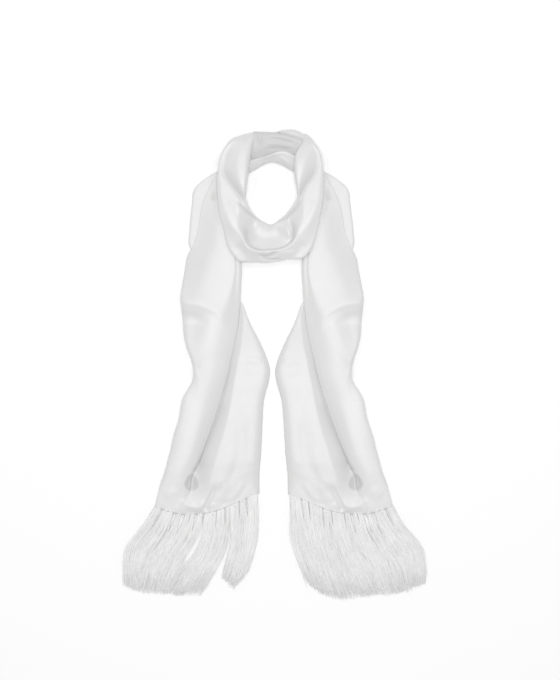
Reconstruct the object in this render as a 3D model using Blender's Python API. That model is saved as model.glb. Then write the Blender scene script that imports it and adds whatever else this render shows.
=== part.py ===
"""White silk opera scarf, laid flat and wound once round its neck opening.

The scarf lies on the plane z = 0. Seen from above, +Y runs from the fringes to the
neck and +X to the right. Sizes in the tables are millimetres.
"""

import math

import bmesh
import bpy
import numpy as np

MM = 0.001

# Driving sizes
WALL = 1.2                      # thickness of the doubled silk
LOWER_Z = 0.6                   # middle of the layer that lies on the table
MIDDLE_Z = 2.8                  # middle of the layer between the two folds
FOLD_BULGE = 1.4                # how far a fold rounds out past its crease
FOLD_REACH = (0.7, 3.2)         # where the cloth beside a fold is flat again
FOLD_OPENS = (-2.0, 3.0)        # overlaps at which the pleat is open and is fully folded
OPEN_SPREAD = 10.0              # width of the slope that the open pleat leaves
AXIS_X = -4.5                   # the line about which the two ends mirror
CENTRE_Y = 2.8                  # middle of the whole length, moved to the origin
SWING_PIVOT = (110.0, 180.0)    # the right end swings about this point
SWING_DEG = 1.0
SEAM_GAP = 0.3

# The pleated end, one row for each height above the middle of the scarf. The first five
# lengths are distances from the mirror line to the outer edge, the fold that shows, the
# hidden fold, the inner edge and the ridge beside the fold.
TAIL_COLUMNS = ("y", "outer", "nose", "back", "inner", "ridge",
                "outer_z", "crest_at", "crest_z", "nose_z", "valley_z", "ridge_z")
TAIL_ROWS = (
    (326, 80, 47.5, 80, 45, 62, 5.2, 0.50, 5.6, 5.4, 0.6, 0.6),
    (316, 85, 50, 85.5, 47, 68, 5.2, 0.50, 5.7, 5.5, 0.6, 0.6),
    (307, 90, 52, 101, 50, 76, 5.2, 0.50, 5.8, 5.6, 0.6, 0.6),
    (300, 93, 53.5, 110.5, 56, 82, 5.3, 0.50, 5.9, 5.7, 0.6, 0.6),
    (291, 98, 56, 120.5, 68, 92, 5.3, 0.50, 6.0, 5.9, 0.6, 0.6),
    (283, 102, 58, 124.5, 80, 98, 5.3, 0.50, 6.2, 6.0, 0.6, 0.6),
    (266, 109, 60, 126.5, 84, 101, 5.3, 0.50, 6.4, 6.0, 0.6, 0.6),
    (243, 114, 60, 129, 80, 102, 5.3, 0.60, 7.0, 6.2, 0.6, 0.6),
    (218, 118, 58, 131, 88, 106, 5.3, 0.60, 8.5, 6.2, 0.6, 0.6),
    (195, 126, 55, 131, 92, 108, 4.9, 0.60, 10.0, 6.4, 0.6, 0.6),
    (179, 135, 51, 122, 90, 102, 0.8, 0.60, 11.0, 6.6, 0.6, 0.6),
    (157, 139, 49, 110, 78, 90, 0.8, 0.60, 11.5, 8.5, 0.6, 0.6),
    (133, 143, 50, 99, 62, 74, 0.8, 0.55, 12.0, 9.0, 0.6, 0.6),
    (110, 146, 51, 94, 51, 58, 0.8, 0.50, 12.5, 9.5, 0.6, 0.6),
    (99, 145, 52, 92, 45, 49, 0.8, 0.45, 10.0, 9.5, 0.6, 1.5),
    (90, 144, 53, 91, 42, 46, 0.8, 0.40, 7.0, 9.5, 0.6, 3.0),
    (70, 142, 55, 89, 34, 45, 0.8, 0.40, 12.0, 10.0, 0.6, 4.5),
    (48, 140, 59, 89, 22.5, 47, 0.8, 0.40, 11.5, 10.0, 0.6, 5.5),
    (29, 135, 63, 92, 13.5, 50, 0.8, 0.40, 11.0, 9.5, 0.6, 6.5),
    (13, 129, 67, 94, 7, 54, 1.2, 0.40, 10.5, 9.0, 0.6, 7.0),
    (-5, 125, 70, 96, 3, 57, 2.8, 0.35, 9.0, 8.5, 0.6, 7.5),
    (-19, 126, 75, 99, 4.5, 61, 1.8, 0.35, 10.0, 8.0, 0.6, 8.0),
    (-48, 142, 84, 105, 12, 65, 0.8, 0.35, 11.0, 7.5, 0.6, 8.0),
    (-83, 149, 95, 114, 15, 73, 0.8, 0.35, 11.0, 7.0, 0.6, 8.5),
    (-112, 158, 105, 119, 16, 81, 0.8, 0.35, 10.5, 6.5, 0.6, 8.5),
    (-139, 164, 114, 124, 17, 88, 0.8, 0.35, 10.0, 6.0, 0.6, 8.5),
    (-163, 170, 122, 126, 18.5, 95, 0.8, 0.35, 9.0, 5.0, 0.6, 8.0),
    (-168, 171.5, 124, 126.3, 19, 97, 0.8, 0.35, 8.7, 4.8, 0.7, 7.7),
    (-173, 173, 126, 126.3, 19, 98, 0.8, 0.35, 8.5, 4.6, 0.8, 7.5),
    (-178, 175, 128.5, 125.5, 19.5, 99.5, 0.8, 0.35, 8.2, 4.3, 0.9, 7.2),
    (-184, 177, 131, 124, 20, 101, 0.8, 0.35, 8.0, 4.0, 1.0, 7.0),
    (-205, 183, 140, 119, 20, 102, 0.8, 0.35, 6.0, 4.5, 3.0, 5.0),
    (-224, 187, 147, 116, 20, 99, 0.8, 0.35, 3.5, 3.0, 2.4, 3.0),
)
LONGEST_ROW_GAP = 28.0          # longer gaps between rows are halved

# Where the hem leaves a straight line, from its outer corner (0) to its inner one (1)
HEM_COLUMNS = ("across", "offset")
HEM_ROWS = ((0.0, 1), (0.16, -8), (0.32, -12), (0.475, -10),
            (0.6, -5), (0.72, 3), (0.84, 12), (1.0, 23))
HEM_Y = -224.0
HEM_STARTS_Y = -100.0

# The front loop, one row for each station from the upper left round the bottom to the
# upper right: its inner and outer point from above, the height of the inner edge, then
# place across and height of the inner roll, the valley and the rim, and the outer edge.
LOOP_COLUMNS = ("inner_x", "inner_y", "outer_x", "outer_y", "inner_z", "roll_at", "roll_z",
                "valley_at", "valley_z", "rim_at", "rim_z", "outer_z")
LOOP_ROWS = (
    (-28.0, 376.2, -35.0, 376.5, 10, 0.35, 20, 0.50, 21, 0.65, 20, 11),
    (-29.9, 369.0, -52.6, 371.9, 9, 0.33, 28, 0.50, 28, 0.70, 27, 11),
    (-32.6, 358.4, -69.4, 364.8, 8, 0.33, 32, 0.52, 27, 0.75, 29, 11),
    (-35.0, 345.6, -80.6, 350.4, 8, 0.33, 34, 0.60, 24, 0.85, 29, 11),
    (-38.2, 328.0, -87.8, 331.2, 8, 0.33, 35, 0.62, 22, 0.86, 30, 12),
    (-41.3, 310.4, -91.5, 310.4, 8, 0.33, 35, 0.62, 22, 0.86, 31, 13),
    (-43.8, 291.2, -91.8, 289.6, 8, 0.30, 34, 0.60, 21, 0.85, 32, 13),
    (-45.4, 272.0, -90.6, 268.8, 10, 0.12, 25, 0.28, 20, 0.72, 33, 14),
    (-40.6, 257.6, -87.4, 246.4, 10, 0.10, 21, 0.25, 16, 0.74, 32, 15),
    (-32.6, 245.6, -81.4, 220.8, 9, 0.10, 17, 0.35, 12, 0.74, 30, 15),
    (-23.8, 238.4, -73.4, 192.0, 8, 0.10, 14, 0.40, 9, 0.74, 28, 15),
    (-15.8, 233.6, -58.2, 172.0, 7, 0.10, 12, 0.42, 7, 0.75, 26, 14),
    (-8.6, 230.4, -32.6, 168.8, 7, 0.10, 11, 0.42, 6, 0.76, 24, 8),
    (-4.5, 230.0, -5.4, 169.3, 7, 0.10, 11, 0.42, 6, 0.76, 24, 8),
    (1.0, 232.8, 20.2, 173.1, 7, 0.10, 11, 0.42, 6, 0.76, 24, 8),
    (9.0, 238.4, 45.8, 176.3, 7, 0.10, 12, 0.42, 8, 0.75, 25, 14),
    (17.0, 244.8, 61.0, 193.6, 8, 0.10, 14, 0.40, 10, 0.74, 27, 15),
    (25.8, 255.2, 70.6, 227.2, 9, 0.10, 17, 0.35, 13, 0.74, 30, 15),
    (32.2, 264.8, 75.4, 251.2, 10, 0.10, 21, 0.25, 17, 0.74, 32, 15),
    (36.6, 274.4, 77.8, 272.0, 10, 0.14, 25, 0.28, 21, 0.72, 33, 14),
    (34.6, 291.2, 79.4, 292.8, 8, 0.30, 34, 0.60, 21, 0.85, 32, 13),
    (31.4, 308.8, 78.9, 312.0, 8, 0.33, 35, 0.62, 22, 0.86, 31, 13),
    (30.6, 326.4, 76.6, 331.2, 8, 0.33, 35, 0.62, 22, 0.86, 30, 12),
    (32.2, 340.8, 72.2, 347.2, 8, 0.33, 34, 0.60, 24, 0.85, 29, 11),
    (37.8, 351.2, 65.8, 358.4, 8, 0.33, 32, 0.52, 27, 0.75, 29, 11),
    (42.6, 360.0, 58.6, 368.0, 9, 0.33, 28, 0.50, 28, 0.70, 27, 11),
    (44.9, 371.2, 50.6, 374.4, 10, 0.35, 20, 0.50, 21, 0.65, 20, 11),
)
LOOP_STATIONS = 49
LOOP_ACROSS = 11
LOOP_UNDER_Z = 8.0              # underside of the loop where it crosses an end
LOOP_UNDER_LOW_Z = 11.8         # the same near the loop's bottom, where the ends swell
LOOP_UNDER_RISES = (262.0, 225.0)
LOOP_UNDER_PAST = 14.0          # the underside stays up this far past an end's top
LOOP_TUCK = 2.4                 # the underside starts this far inside the outer edge
TAIL_TOP_Y = 326.0
FOOT_CLEAR = (3.3, 1.3)         # the loop's foot keeps this far inside fold and inner edge

# The stretches behind the neck, one row for each station from left to right: a point on
# the outer line and one on the inner line, and the heights of edge, crest, middle and foot
BACK_COLUMNS = ("outer_x", "outer_y", "inner_x", "inner_y",
                "edge_z", "crest_at", "crest_z", "middle_z", "foot_z")
BACK_UPPER_ROWS = (
    (-27.0, 377.9, -34.8, 333.3, 10, 0.18, 29, 19, 9),
    (-13.4, 377.6, -20.6, 336.3, 11, 0.17, 31, 20, 9),
    (2.1, 376.3, -6.2, 340.1, 12, 0.17, 31, 20, 9),
    (15.4, 372.5, 8.2, 345.5, 12, 0.20, 29, 20, 10),
    (29.0, 368.0, 21.0, 345.1, 12, 0.24, 27, 20, 11),
    (42.2, 362.6, 31.2, 341.2, 11, 0.26, 26, 19, 11),
)
BACK_LOWER_ROWS = (
    (-36.5, 332.4, -40.0, 312.0, 9, 0.30, 16, 12, 4),
    (-23.0, 335.0, -27.8, 319.2, 9, 0.30, 16, 12, 4),
    (-8.6, 338.9, -15.0, 326.4, 8, 0.30, 15, 11, 4),
    (7.4, 344.7, -2.2, 329.6, 8, 0.30, 15, 11, 4),
    (20.2, 344.5, 13.8, 324.0, 8, 0.28, 15, 11, 4),
    (30.6, 340.3, 29.4, 315.4, 9, 0.26, 16, 12, 4),
)
BACK_OUTER_ROWS = (
    (5.0, 378.6, 5.6, 376.2, 9, 0.45, 17, 16, 10),
    (13.8, 380.5, 14.4, 373.5, 11, 0.40, 27, 26, 16),
    (25.0, 381.4, 24.8, 369.9, 12, 0.38, 29, 28, 17),
    (36.2, 380.0, 34.4, 366.6, 12, 0.36, 29, 28, 17),
    (44.0, 373.9, 43.0, 363.8, 10, 0.38, 25, 24, 15),
)
BACK_STATIONS = 11
BACK_ACROSS = 7

# The fringe, one row for each guide strand from the outer corner of the hem (0) to the
# inner one (1): how far it has drifted outwards at a quarter, half, three quarters and
# the whole of its fall, and how far down it ends from the hem line's own height.
GUIDE_COLUMNS = ("across", "quarter", "half", "three_quarters", "tip", "fall")
GUIDE_ROWS = {
    -1: ((0.0, 20, 44, 48, 48, 132), (0.15, 14, 38, 49.5, 53, 131),
         (0.32, 10.5, 29.5, 45.5, 57, 128.5), (0.475, 5, 21, 40, 57.5, 132),
         (0.6, 3, 14.5, 33.5, 53, 139), (0.70, 0, 7, 25, 45, 145),
         (0.74, 0, 0, 6.5, 16, 122), (0.87, -3, 0, 9.5, 20.5, 150),
         (1.0, 0, 2.5, 9, 20.5, 133)),
    1: ((0.0, 18, 43.5, 51, 52, 129), (0.15, 14.5, 35, 48, 53, 131),
        (0.32, 10.5, 28, 44, 55, 129.5), (0.475, 6.5, 21, 38.5, 54.5, 134.5),
        (0.6, 5, 16, 31, 46.5, 143), (0.72, 4, 13.5, 26.5, 41, 154),
        (0.87, 5, 13, 25, 38.5, 158.5), (1.0, 1.5, 6.5, 21, 36.5, 152.5)),
}
KNOTS = 15                      # knots along each hem
STRANDS_PER_KNOT = 3            # in each of the two layers
STRIP_LENGTH = 4.4              # the strip of knots, measured down from the hem
STRIP_BOTTOM_Z = 0.35
STRIP_TOP_Z = 3.5
KNOT_SWELL = 0.5
ROOT_SHARE = 0.36               # size of a strand's root in its share of the strip
STRAND_RADIUS = 0.85
STRAND_LENGTHS = (1.0, 0.93, 0.98, 0.9, 0.99, 0.95, 0.97, 0.91)
STRAND_LAYER_Z = (1.0, 2.75)    # the lower and the upper layer of strands

SILK = ("silk_satin", (0.93, 0.93, 0.925, 1.0), 0.32)
FRINGE_SILK = ("fringe_silk", (0.91, 0.91, 0.905, 1.0), 0.45)


def columns(names, rows):
    """The table as one array for each named column."""
    return dict(zip(names, np.array(rows, float).T))


def smoothstep(values, start, end):
    """0 before start, 1 after end, and a smooth slope between."""
    t = np.clip((values - start) / (end - start), 0.0, 1.0)
    return t * t * (3.0 - 2.0 * t)


def through(at, known_at, known):
    """A smooth curve through known values, read at other places along it."""
    slope = np.gradient(known, known_at, axis=0)
    i = np.clip(np.searchsorted(known_at, at) - 1, 0, len(known_at) - 2)
    span = known_at[i + 1] - known_at[i]
    t = (at - known_at[i]) / span
    rest = 1.0 - t
    return (known[i] * (1 + 2 * t) * rest**2 + known[i + 1] * (3 - 2 * t) * t**2
            + slope[i] * span * t * rest**2 - slope[i + 1] * span * rest * t**2)


def spline_weights(count, at):
    """Weights of a clamped cubic B-spline with count control points, for at in 0 to 1."""
    knots = np.concatenate([np.zeros(3), np.linspace(0.0, 1.0, count - 2), np.ones(3)])
    t = np.clip(at, 0.0, 1.0 - 1e-9)[:, None]
    weights = ((knots[:-1] <= t) & (t < knots[1:])).astype(float)
    for degree in (1, 2, 3):
        rise = knots[degree:-1] - knots[:-degree - 1]
        fall = knots[degree + 1:] - knots[1:-degree]
        up = (t - knots[:-degree - 1]) / np.where(rise > 0, rise, 1.0) * (rise > 0)
        down = (knots[degree + 1:] - t) / np.where(fall > 0, fall, 1.0) * (fall > 0)
        weights = up * weights[:, :-1] + down * weights[:, 1:]
    return weights


def control_places(count):
    """The place along a clamped cubic B-spline that each control point rules."""
    knots = np.concatenate([np.zeros(3), np.linspace(0.0, 1.0, count - 2), np.ones(3)])
    return (knots[1:-3] + knots[2:-2] + knots[3:-1]) / 3.0


def ring_faces(rings, around):
    """Two triangles for each cell between rings of points that close on themselves."""
    r = np.arange(rings - 1)[:, None]
    c = np.arange(around)[None, :]
    here = r * around + c
    beside = r * around + (c + 1) % around
    first = np.stack([here, beside, beside + around], -1)
    second = np.stack([here, beside + around, here + around], -1)
    return np.concatenate([first, second]).reshape(-1, 3)


def placed(points):
    """Millimetres in the tables' frame to metres in the part's frame."""
    return (np.asarray(points, float) - (0.0, CENTRE_Y, 0.0)) * MM


def make_material(name, colour, roughness):
    material = bpy.data.materials.new(name)
    material.use_nodes = True
    shader = material.node_tree.nodes["Principled BSDF"]
    shader.inputs["Base Color"].default_value = colour
    shader.inputs["Roughness"].default_value = roughness
    shader.inputs["Metallic"].default_value = 0.0
    material.diffuse_color = colour
    return material


def add_solid(name, points, faces, finish):
    """One closed solid from its points in millimetres and its faces."""
    mesh = bpy.data.meshes.new(name)
    mesh.from_pydata(placed(points).tolist(), [], [list(map(int, face)) for face in faces])
    shell = bmesh.new()
    shell.from_mesh(mesh)
    bmesh.ops.recalc_face_normals(shell, faces=shell.faces)
    shell.to_mesh(mesh)
    shell.free()
    mesh.shade_smooth()
    mesh.set_sharp_from_angle(angle=math.radians(50))
    mesh.materials.append(make_material(*((name + "_" + finish[0],) + finish[1:])))
    bpy.context.scene.collection.objects.link(bpy.data.objects.new(name, mesh))


def wall_solid(name, middle, side):
    """A wall of the cloth's thickness about a grid of middle points, flat on the table."""
    along = np.gradient(middle, axis=0)
    steps = np.diff(middle, axis=1)
    steps /= np.linalg.norm(steps, axis=2, keepdims=True)
    across = np.concatenate([steps[:, :1], steps[:, 1:] + steps[:, :-1], steps[:, -1:]], 1)
    normal = side * np.cross(across, along)
    normal /= np.linalg.norm(normal, axis=2, keepdims=True)
    rows, cols = middle.shape[:2]
    ring = np.concatenate([middle + normal * WALL / 2, (middle - normal * WALL / 2)[:, ::-1]], 1)
    ring[:, :, 2] = np.maximum(ring[:, :, 2], 0.0)
    faces = list(ring_faces(rows, 2 * cols))
    for first in (0, (rows - 1) * 2 * cols):
        for c in range(cols - 1):
            last = first + 2 * cols - 1 - c
            faces.append([first + c, first + c + 1, last - 1, last])
    add_solid(name, ring.reshape(-1, 3), faces, SILK)


def pleat_controls(row):
    """Control points across the pleated end, as distances from the mirror line and heights.

    They run from the outer edge over the crest to the fold that shows, back under it to
    the hidden fold, and along the table past the ridge to the inner edge. Where the
    pleat's overlap is nearly gone the layers under it open out into one slope.
    """
    outer, nose, back, inner = row["outer"], row["nose"], row["back"], row["inner"]
    ridge, outer_z, nose_z = row["ridge"], row["outer_z"], row["nose_z"]
    crest_at, crest_z = row["crest_at"], row["crest_z"]
    valley_z, ridge_z = row["valley_z"], row["ridge_z"]
    width = outer - nose
    overlap = back - nose
    folded = smoothstep(overlap, *FOLD_OPENS)
    near = FOLD_REACH[0] * np.clip(overlap / FOLD_REACH[1], 0.0, 1.0)
    far = np.clip(0.35 * overlap, near, FOLD_REACH[1])
    rise = crest_z - outer_z
    lip_z = nose_z - 0.3
    beside = np.maximum(nose - ridge, 2.5)
    inside = ridge - inner
    open_back = np.minimum(back, nose - OPEN_SPREAD)
    top = (
        (outer, outer_z),
        (outer - 0.10 * width, outer_z + 0.60 * rise),
        (outer - 0.5 * crest_at * width, outer_z + 0.95 * rise),
        (outer - crest_at * width, crest_z),
        (outer - 0.5 * (crest_at + 0.88) * width, 0.5 * (crest_z + nose_z)),
        (outer - 0.90 * width, nose_z),
    )
    folds = (
        (nose + far, lip_z),
        (nose + near, lip_z),
        (nose - FOLD_BULGE, 0.5 * (lip_z + MIDDLE_Z)),
        (nose + near, MIDDLE_Z),
        (nose + far, MIDDLE_Z),
        (nose + 0.50 * overlap, MIDDLE_Z),
        (back - far, MIDDLE_Z),
        (back - near, MIDDLE_Z),
        (back + FOLD_BULGE, 0.5 * (MIDDLE_Z + LOWER_Z)),
        (back - near, LOWER_Z),
        (back - far, LOWER_Z),
    )
    pleat = []
    for share, (distance, z) in zip(np.linspace(0.0, 1.0, len(folds)), folds):
        open_distance = nose + share * (open_back - nose)
        open_z = lip_z + share * (valley_z - lip_z)
        pleat.append((folded * distance + (1 - folded) * open_distance,
                      folded * z + (1 - folded) * open_z))
    start = folded * (ridge + 1.15 * beside) + (1 - folded) * 0.5 * (open_back + ridge)
    start = np.minimum(start, pleat[-1][0] - 2.5)
    bottom = (
        (0.45 * pleat[-1][0] + 0.55 * start, valley_z),
        (start, valley_z),
        (ridge + 0.4 * (start - ridge), valley_z + 0.40 * (ridge_z - valley_z)),
        (ridge, ridge_z),
        (ridge - 0.28 * inside, LOWER_Z + 0.75 * (ridge_z - LOWER_Z)),
        (ridge - 0.65 * inside, LOWER_Z + 0.25 * (ridge_z - LOWER_Z)),
        (inner, LOWER_Z + 0 * inner),
    )
    pairs = top + tuple(pleat) + bottom
    return np.stack([np.stack(pair, -1) for pair in pairs], 1)


def tail_row_heights():
    """The heights of the table's rows, with one more in each long gap between them."""
    heights = []
    table = [row[0] for row in TAIL_ROWS]
    for upper, below in zip(table[:-1], table[1:]):
        heights.append(upper)
        if upper - below > LONGEST_ROW_GAP:
            heights.append(0.5 * (upper + below))
    return np.array(heights + [table[-1]], float)


def tail_profile(heights):
    """Each column of the tail's table at the given heights."""
    table = columns(TAIL_COLUMNS, TAIL_ROWS)
    return {name: through(-heights, -table["y"], table[name]) for name in TAIL_COLUMNS}


def hem_offset(across):
    hem = columns(HEM_COLUMNS, HEM_ROWS)
    return through(np.clip(across, 0.0, 1.0), hem["across"], hem["offset"])


def swing(distance, y, side):
    """A point of one end, mirrored, and swung out on the right."""
    if side < 0:
        return np.stack([AXIS_X - distance, y], -1)
    angle = math.radians(SWING_DEG)
    a = distance - SWING_PIVOT[0]
    b = y - SWING_PIVOT[1]
    turned = SWING_PIVOT[0] + a * math.cos(angle) - b * math.sin(angle)
    return np.stack([AXIS_X + turned, SWING_PIVOT[1] + a * math.sin(angle) + b * math.cos(angle)], -1)


def tail_middle(side, heights, across=None):
    """The middle surface of one pleated end, from its outer to its inner edge."""
    row = tail_profile(heights)
    controls = pleat_controls(row)
    count = controls.shape[1]
    places = control_places(count) if across is None else across
    section = np.einsum("sc,rcx->rsx", spline_weights(count, places), controls)
    distance, z = section[..., 0], section[..., 1]
    share = (row["outer"][:, None] - distance) / (row["outer"] - row["inner"])[:, None]
    ramp = smoothstep(-heights, -HEM_STARTS_Y, -HEM_Y)[:, None]
    y = heights[:, None] + ramp * hem_offset(share)
    return np.concatenate([swing(distance, y, side), z[..., None]], -1)


def build_tail(name, side):
    wall_solid(name, tail_middle(side, tail_row_heights()), side)


def foot_limit(side, x, y):
    """How far past the loop's foot a point is: above zero it lies over one of the ends."""
    heights = np.linspace(TAIL_TOP_Y, 100.0, 40)
    row = tail_profile(heights)
    reach = np.minimum(row["nose"] - FOOT_CLEAR[0], row["inner"] - FOOT_CLEAR[1])
    edge = swing(reach, heights, side)
    order = np.argsort(edge[:, 1])
    limit = np.interp(y, edge[order, 1], np.abs(edge[order, 0] - AXIS_X))
    return np.abs(x - AXIS_X) - limit


def build_front_loop():
    """The full roll: rings from the inner to the outer edge, flat under its foot."""
    table = columns(LOOP_COLUMNS, LOOP_ROWS)
    known = np.arange(len(LOOP_ROWS), dtype=float)
    at = np.linspace(0.0, known[-1], LOOP_STATIONS)
    row = {name: through(at, known, table[name]) for name in LOOP_COLUMNS}
    rises = ((0.0, 0.0), (0.3, 0.7))
    first, last = row["roll_at"], row["rim_at"]
    valley = row["valley_at"]
    top = (
        (0 * first, row["inner_z"]),
        (rises[1][0] * first, row["inner_z"] + rises[1][1] * (row["roll_z"] - row["inner_z"])),
        (first, row["roll_z"]),
        (0.6 * first + 0.4 * valley, 0.65 * row["roll_z"] + 0.35 * row["valley_z"]),
        (valley, row["valley_z"]),
        (0.6 * valley + 0.4 * last, 0.65 * row["valley_z"] + 0.35 * row["rim_z"]),
        (last, row["rim_z"]),
        (0.4 * last + 0.6, 0.75 * row["rim_z"] + 0.25 * row["outer_z"]),
        (0 * last + 1.0, row["outer_z"]),
    )
    controls = np.stack([np.stack(pair, -1) for pair in top], 1)
    weights = spline_weights(len(top), np.linspace(0.0, 1.0, LOOP_ACROSS))
    crown = np.einsum("sc,rcx->rsx", weights, controls)
    inner = np.stack([row["inner_x"], row["inner_y"]], -1)
    outer = np.stack([row["outer_x"], row["outer_y"]], -1)
    rings = []
    for i in range(LOOP_STATIONS):
        width = np.linalg.norm(outer[i] - inner[i])
        tuck = 1.0 - min(LOOP_TUCK / width, 0.3)
        under = [(tuck, 0.0), (0.5 * tuck + 0.15, 0.0), (0.35, 0.0), (0.06, 0.0)]
        fine = np.linspace(0.0, 1.0, 201)
        line = inner[i] + (outer[i] - inner[i]) * fine[:, None]
        side = -1 if outer[i][0] < AXIS_X else 1
        past = foot_limit(side, line[:, 0], line[:, 1]) > 0
        over = past & (line[:, 1] < TAIL_TOP_Y + LOOP_UNDER_PAST)
        if over.any():
            step = fine[np.argmax(over)]
            low = smoothstep(-line[-1, 1], -LOOP_UNDER_RISES[0], -LOOP_UNDER_RISES[1])
            z = LOOP_UNDER_Z + (LOOP_UNDER_LOW_Z - LOOP_UNDER_Z) * low
            lift = min(step + 0.5 / width, 0.97)
            under = [(max(tuck, lift), z), (lift, z), (step, 0.0), (min(0.06, 0.5 * step), 0.0)]
        section = np.concatenate([crown[i], np.array(under)])
        plan = inner[i] + (outer[i] - inner[i]) * section[:, :1]
        rings.append(np.concatenate([plan, section[:, 1:]], 1))
    add_ring_solid("front_loop", np.array(rings))


def add_ring_solid(name, rings):
    """A solid through closed rings, each a top line and a line under it, capped at its ends."""
    stations, around = rings.shape[:2]
    faces = list(ring_faces(stations, around))
    for first in (0, (stations - 1) * around):
        faces.append(range(first, first + around))
    add_solid(name, rings.reshape(-1, 3), faces, SILK)


def build_back(name, rows):
    """One stretch behind the neck: a rounded crest that slants down to its inner line."""
    table = columns(BACK_COLUMNS, rows)
    known = np.arange(len(rows), dtype=float)
    at = np.linspace(0.0, known[-1], BACK_STATIONS)
    row = {key: through(at, known, table[key]) for key in BACK_COLUMNS}
    crest = row["crest_at"]
    top = (
        (0 * crest, row["edge_z"]),
        (0.15 * crest, row["edge_z"] + 0.7 * (row["crest_z"] - row["edge_z"])),
        (crest, row["crest_z"]),
        (0.5 * crest + 0.3, 0.45 * row["crest_z"] + 0.55 * row["middle_z"]),
        (0 * crest + 0.8, row["middle_z"]),
        (0 * crest + 1.0, row["foot_z"]),
    )
    controls = np.stack([np.stack(pair, -1) for pair in top], 1)
    crown = np.einsum("sc,rcx->rsx", spline_weights(len(top), np.linspace(0, 1, BACK_ACROSS)), controls)
    outer = np.stack([row["outer_x"], row["outer_y"]], -1)[:, None]
    inner = np.stack([row["inner_x"], row["inner_y"]], -1)[:, None]
    under = np.broadcast_to([(0.96, 0.0), (0.1, 0.0)], (BACK_STATIONS, 2, 2))
    section = np.concatenate([crown, under], 1)
    rings = np.concatenate([outer + (inner - outer) * section[..., :1], section[..., 1:]], -1)
    add_ring_solid(name, rings)


def build_fringe(name, side):
    """A strip of knots along the hem with two layers of three-sided strands."""
    cells = KNOTS * STRANDS_PER_KNOT
    edge = np.linspace(0.0, 1.0, cells + 1)
    bottom = tail_profile(np.array([HEM_Y]))
    outer, inner = bottom["outer"][0], bottom["inner"][0]
    distance = outer + (inner - outer) * edge
    upper = HEM_Y + hem_offset(edge) - SEAM_GAP
    swell = KNOT_SWELL * np.sin(math.pi * KNOTS * edge) ** 2
    front_y = upper - STRIP_LENGTH - swell
    bottom_z = np.full(cells + 1, STRIP_BOTTOM_Z)
    top_z = STRIP_TOP_Z + swell
    middle_z = 0.5 * (bottom_z + top_z)
    lines = ((upper, bottom_z), (upper, top_z), (front_y, top_z), (front_y, middle_z), (front_y, bottom_z))
    ring = np.stack([np.concatenate([swing(distance, y, side), z[:, None]], 1) for y, z in lines], 1)
    points = [list(point) for point in ring.reshape(-1, 3)]
    faces = []
    for i in range(cells):
        here, there = 5 * i, 5 * (i + 1)
        for a, b in ((0, 1), (1, 2), (4, 0)):
            faces.append([here + a, here + b, there + b, there + a])
        for layer, (low, high) in enumerate(((4, 3), (3, 2))):
            corners = [here + high, here + low, there + low, there + high]
            add_strand(points, faces, corners, side, (edge[i] + edge[i + 1]) / 2, layer, i)
    faces.append([4, 3, 2, 1, 0])
    faces.append([5 * cells + k for k in range(5)])
    add_solid(name, points, faces, FRINGE_SILK)


def strand_path(side, across, layer, number, root):
    """Five points down one strand, between the guide strands on both sides of it."""
    guide = columns(GUIDE_COLUMNS, GUIDE_ROWS[side])
    drift = [0.0] + [np.interp(across, guide["across"], guide[key]) for key in GUIDE_COLUMNS[1:5]]
    fall = np.interp(across, guide["across"], guide["fall"]) - STRIP_LENGTH - SEAM_GAP
    quarters = np.linspace(0.0, 1.0, 5)
    down = quarters * STRAND_LENGTHS[(3 * number + 5 * layer) % len(STRAND_LENGTHS)]
    x = root[0] + side * through(down, quarters, np.array(drift))
    y = root[1] - fall * down
    settle = smoothstep(down, 0.0, 0.25)
    z = root[2] + (STRAND_LAYER_Z[layer] - root[2]) * settle
    return np.stack([x, y, z], 1)


def add_strand(points, faces, corners, side, across, layer, number):
    """One strand whose root is a triangle in its share of the strip's front face."""
    cell = np.array([points[c] for c in corners])
    centre = cell.mean(0)
    path = strand_path(side, across, layer, number, centre)
    high_left, low_left, low_right, high_right = cell
    half_across = (low_right - low_left + high_right - high_left) / 4
    half_up = (high_left - low_left + high_right - low_right) / 4
    root = centre + 2 * ROOT_SHARE * np.array([half_up, -half_across - half_up, half_across - half_up])
    first = len(points)
    points.extend(root.tolist())
    apex, left, right = first, first + 1, first + 2
    a, b, c, d = corners
    faces += [[a, b, left], [a, left, apex], [b, c, right], [b, right, left],
              [c, d, right], [d, apex, right], [d, a, apex]]
    heading = np.gradient(path, axis=0)
    heading[:, 2] = 0
    heading /= np.linalg.norm(heading, axis=1, keepdims=True)
    sideways = np.stack([-heading[:, 1], heading[:, 0], 0 * heading[:, 0]], 1)
    sideways *= np.sign(sideways @ half_across)[:, None]
    last = (apex, left, right)
    for k in (1, 2, 3):
        start = len(points)
        radius = STRAND_RADIUS * (1.0, 0.95, 0.8)[k - 1]
        up = np.array([0.0, 0.0, 1.0])
        for turn in (90, 210, 330):
            angle = math.radians(turn)
            points.append((path[k] + radius * (math.cos(angle) * sideways[k] + math.sin(angle) * up)).tolist())
        ring = (start, start + 1, start + 2)
        for m in range(3):
            n = (m + 1) % 3
            faces.append([last[m], last[n], ring[n], ring[m]])
        last = ring
    points.append(path[4].tolist())
    tip = len(points) - 1
    for m in range(3):
        faces.append([last[m], last[(m + 1) % 3], tip])


def main():
    for existing in list(bpy.data.objects):
        bpy.data.objects.remove(existing, do_unlink=True)
    build_tail("tail_left", -1)
    build_tail("tail_right", 1)
    build_front_loop()
    build_back("back_upper", BACK_UPPER_ROWS)
    build_back("back_lower", BACK_LOWER_ROWS)
    build_back("back_outer", BACK_OUTER_ROWS)
    build_fringe("fringe_left", -1)
    build_fringe("fringe_right", 1)


main()
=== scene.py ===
import math

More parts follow.
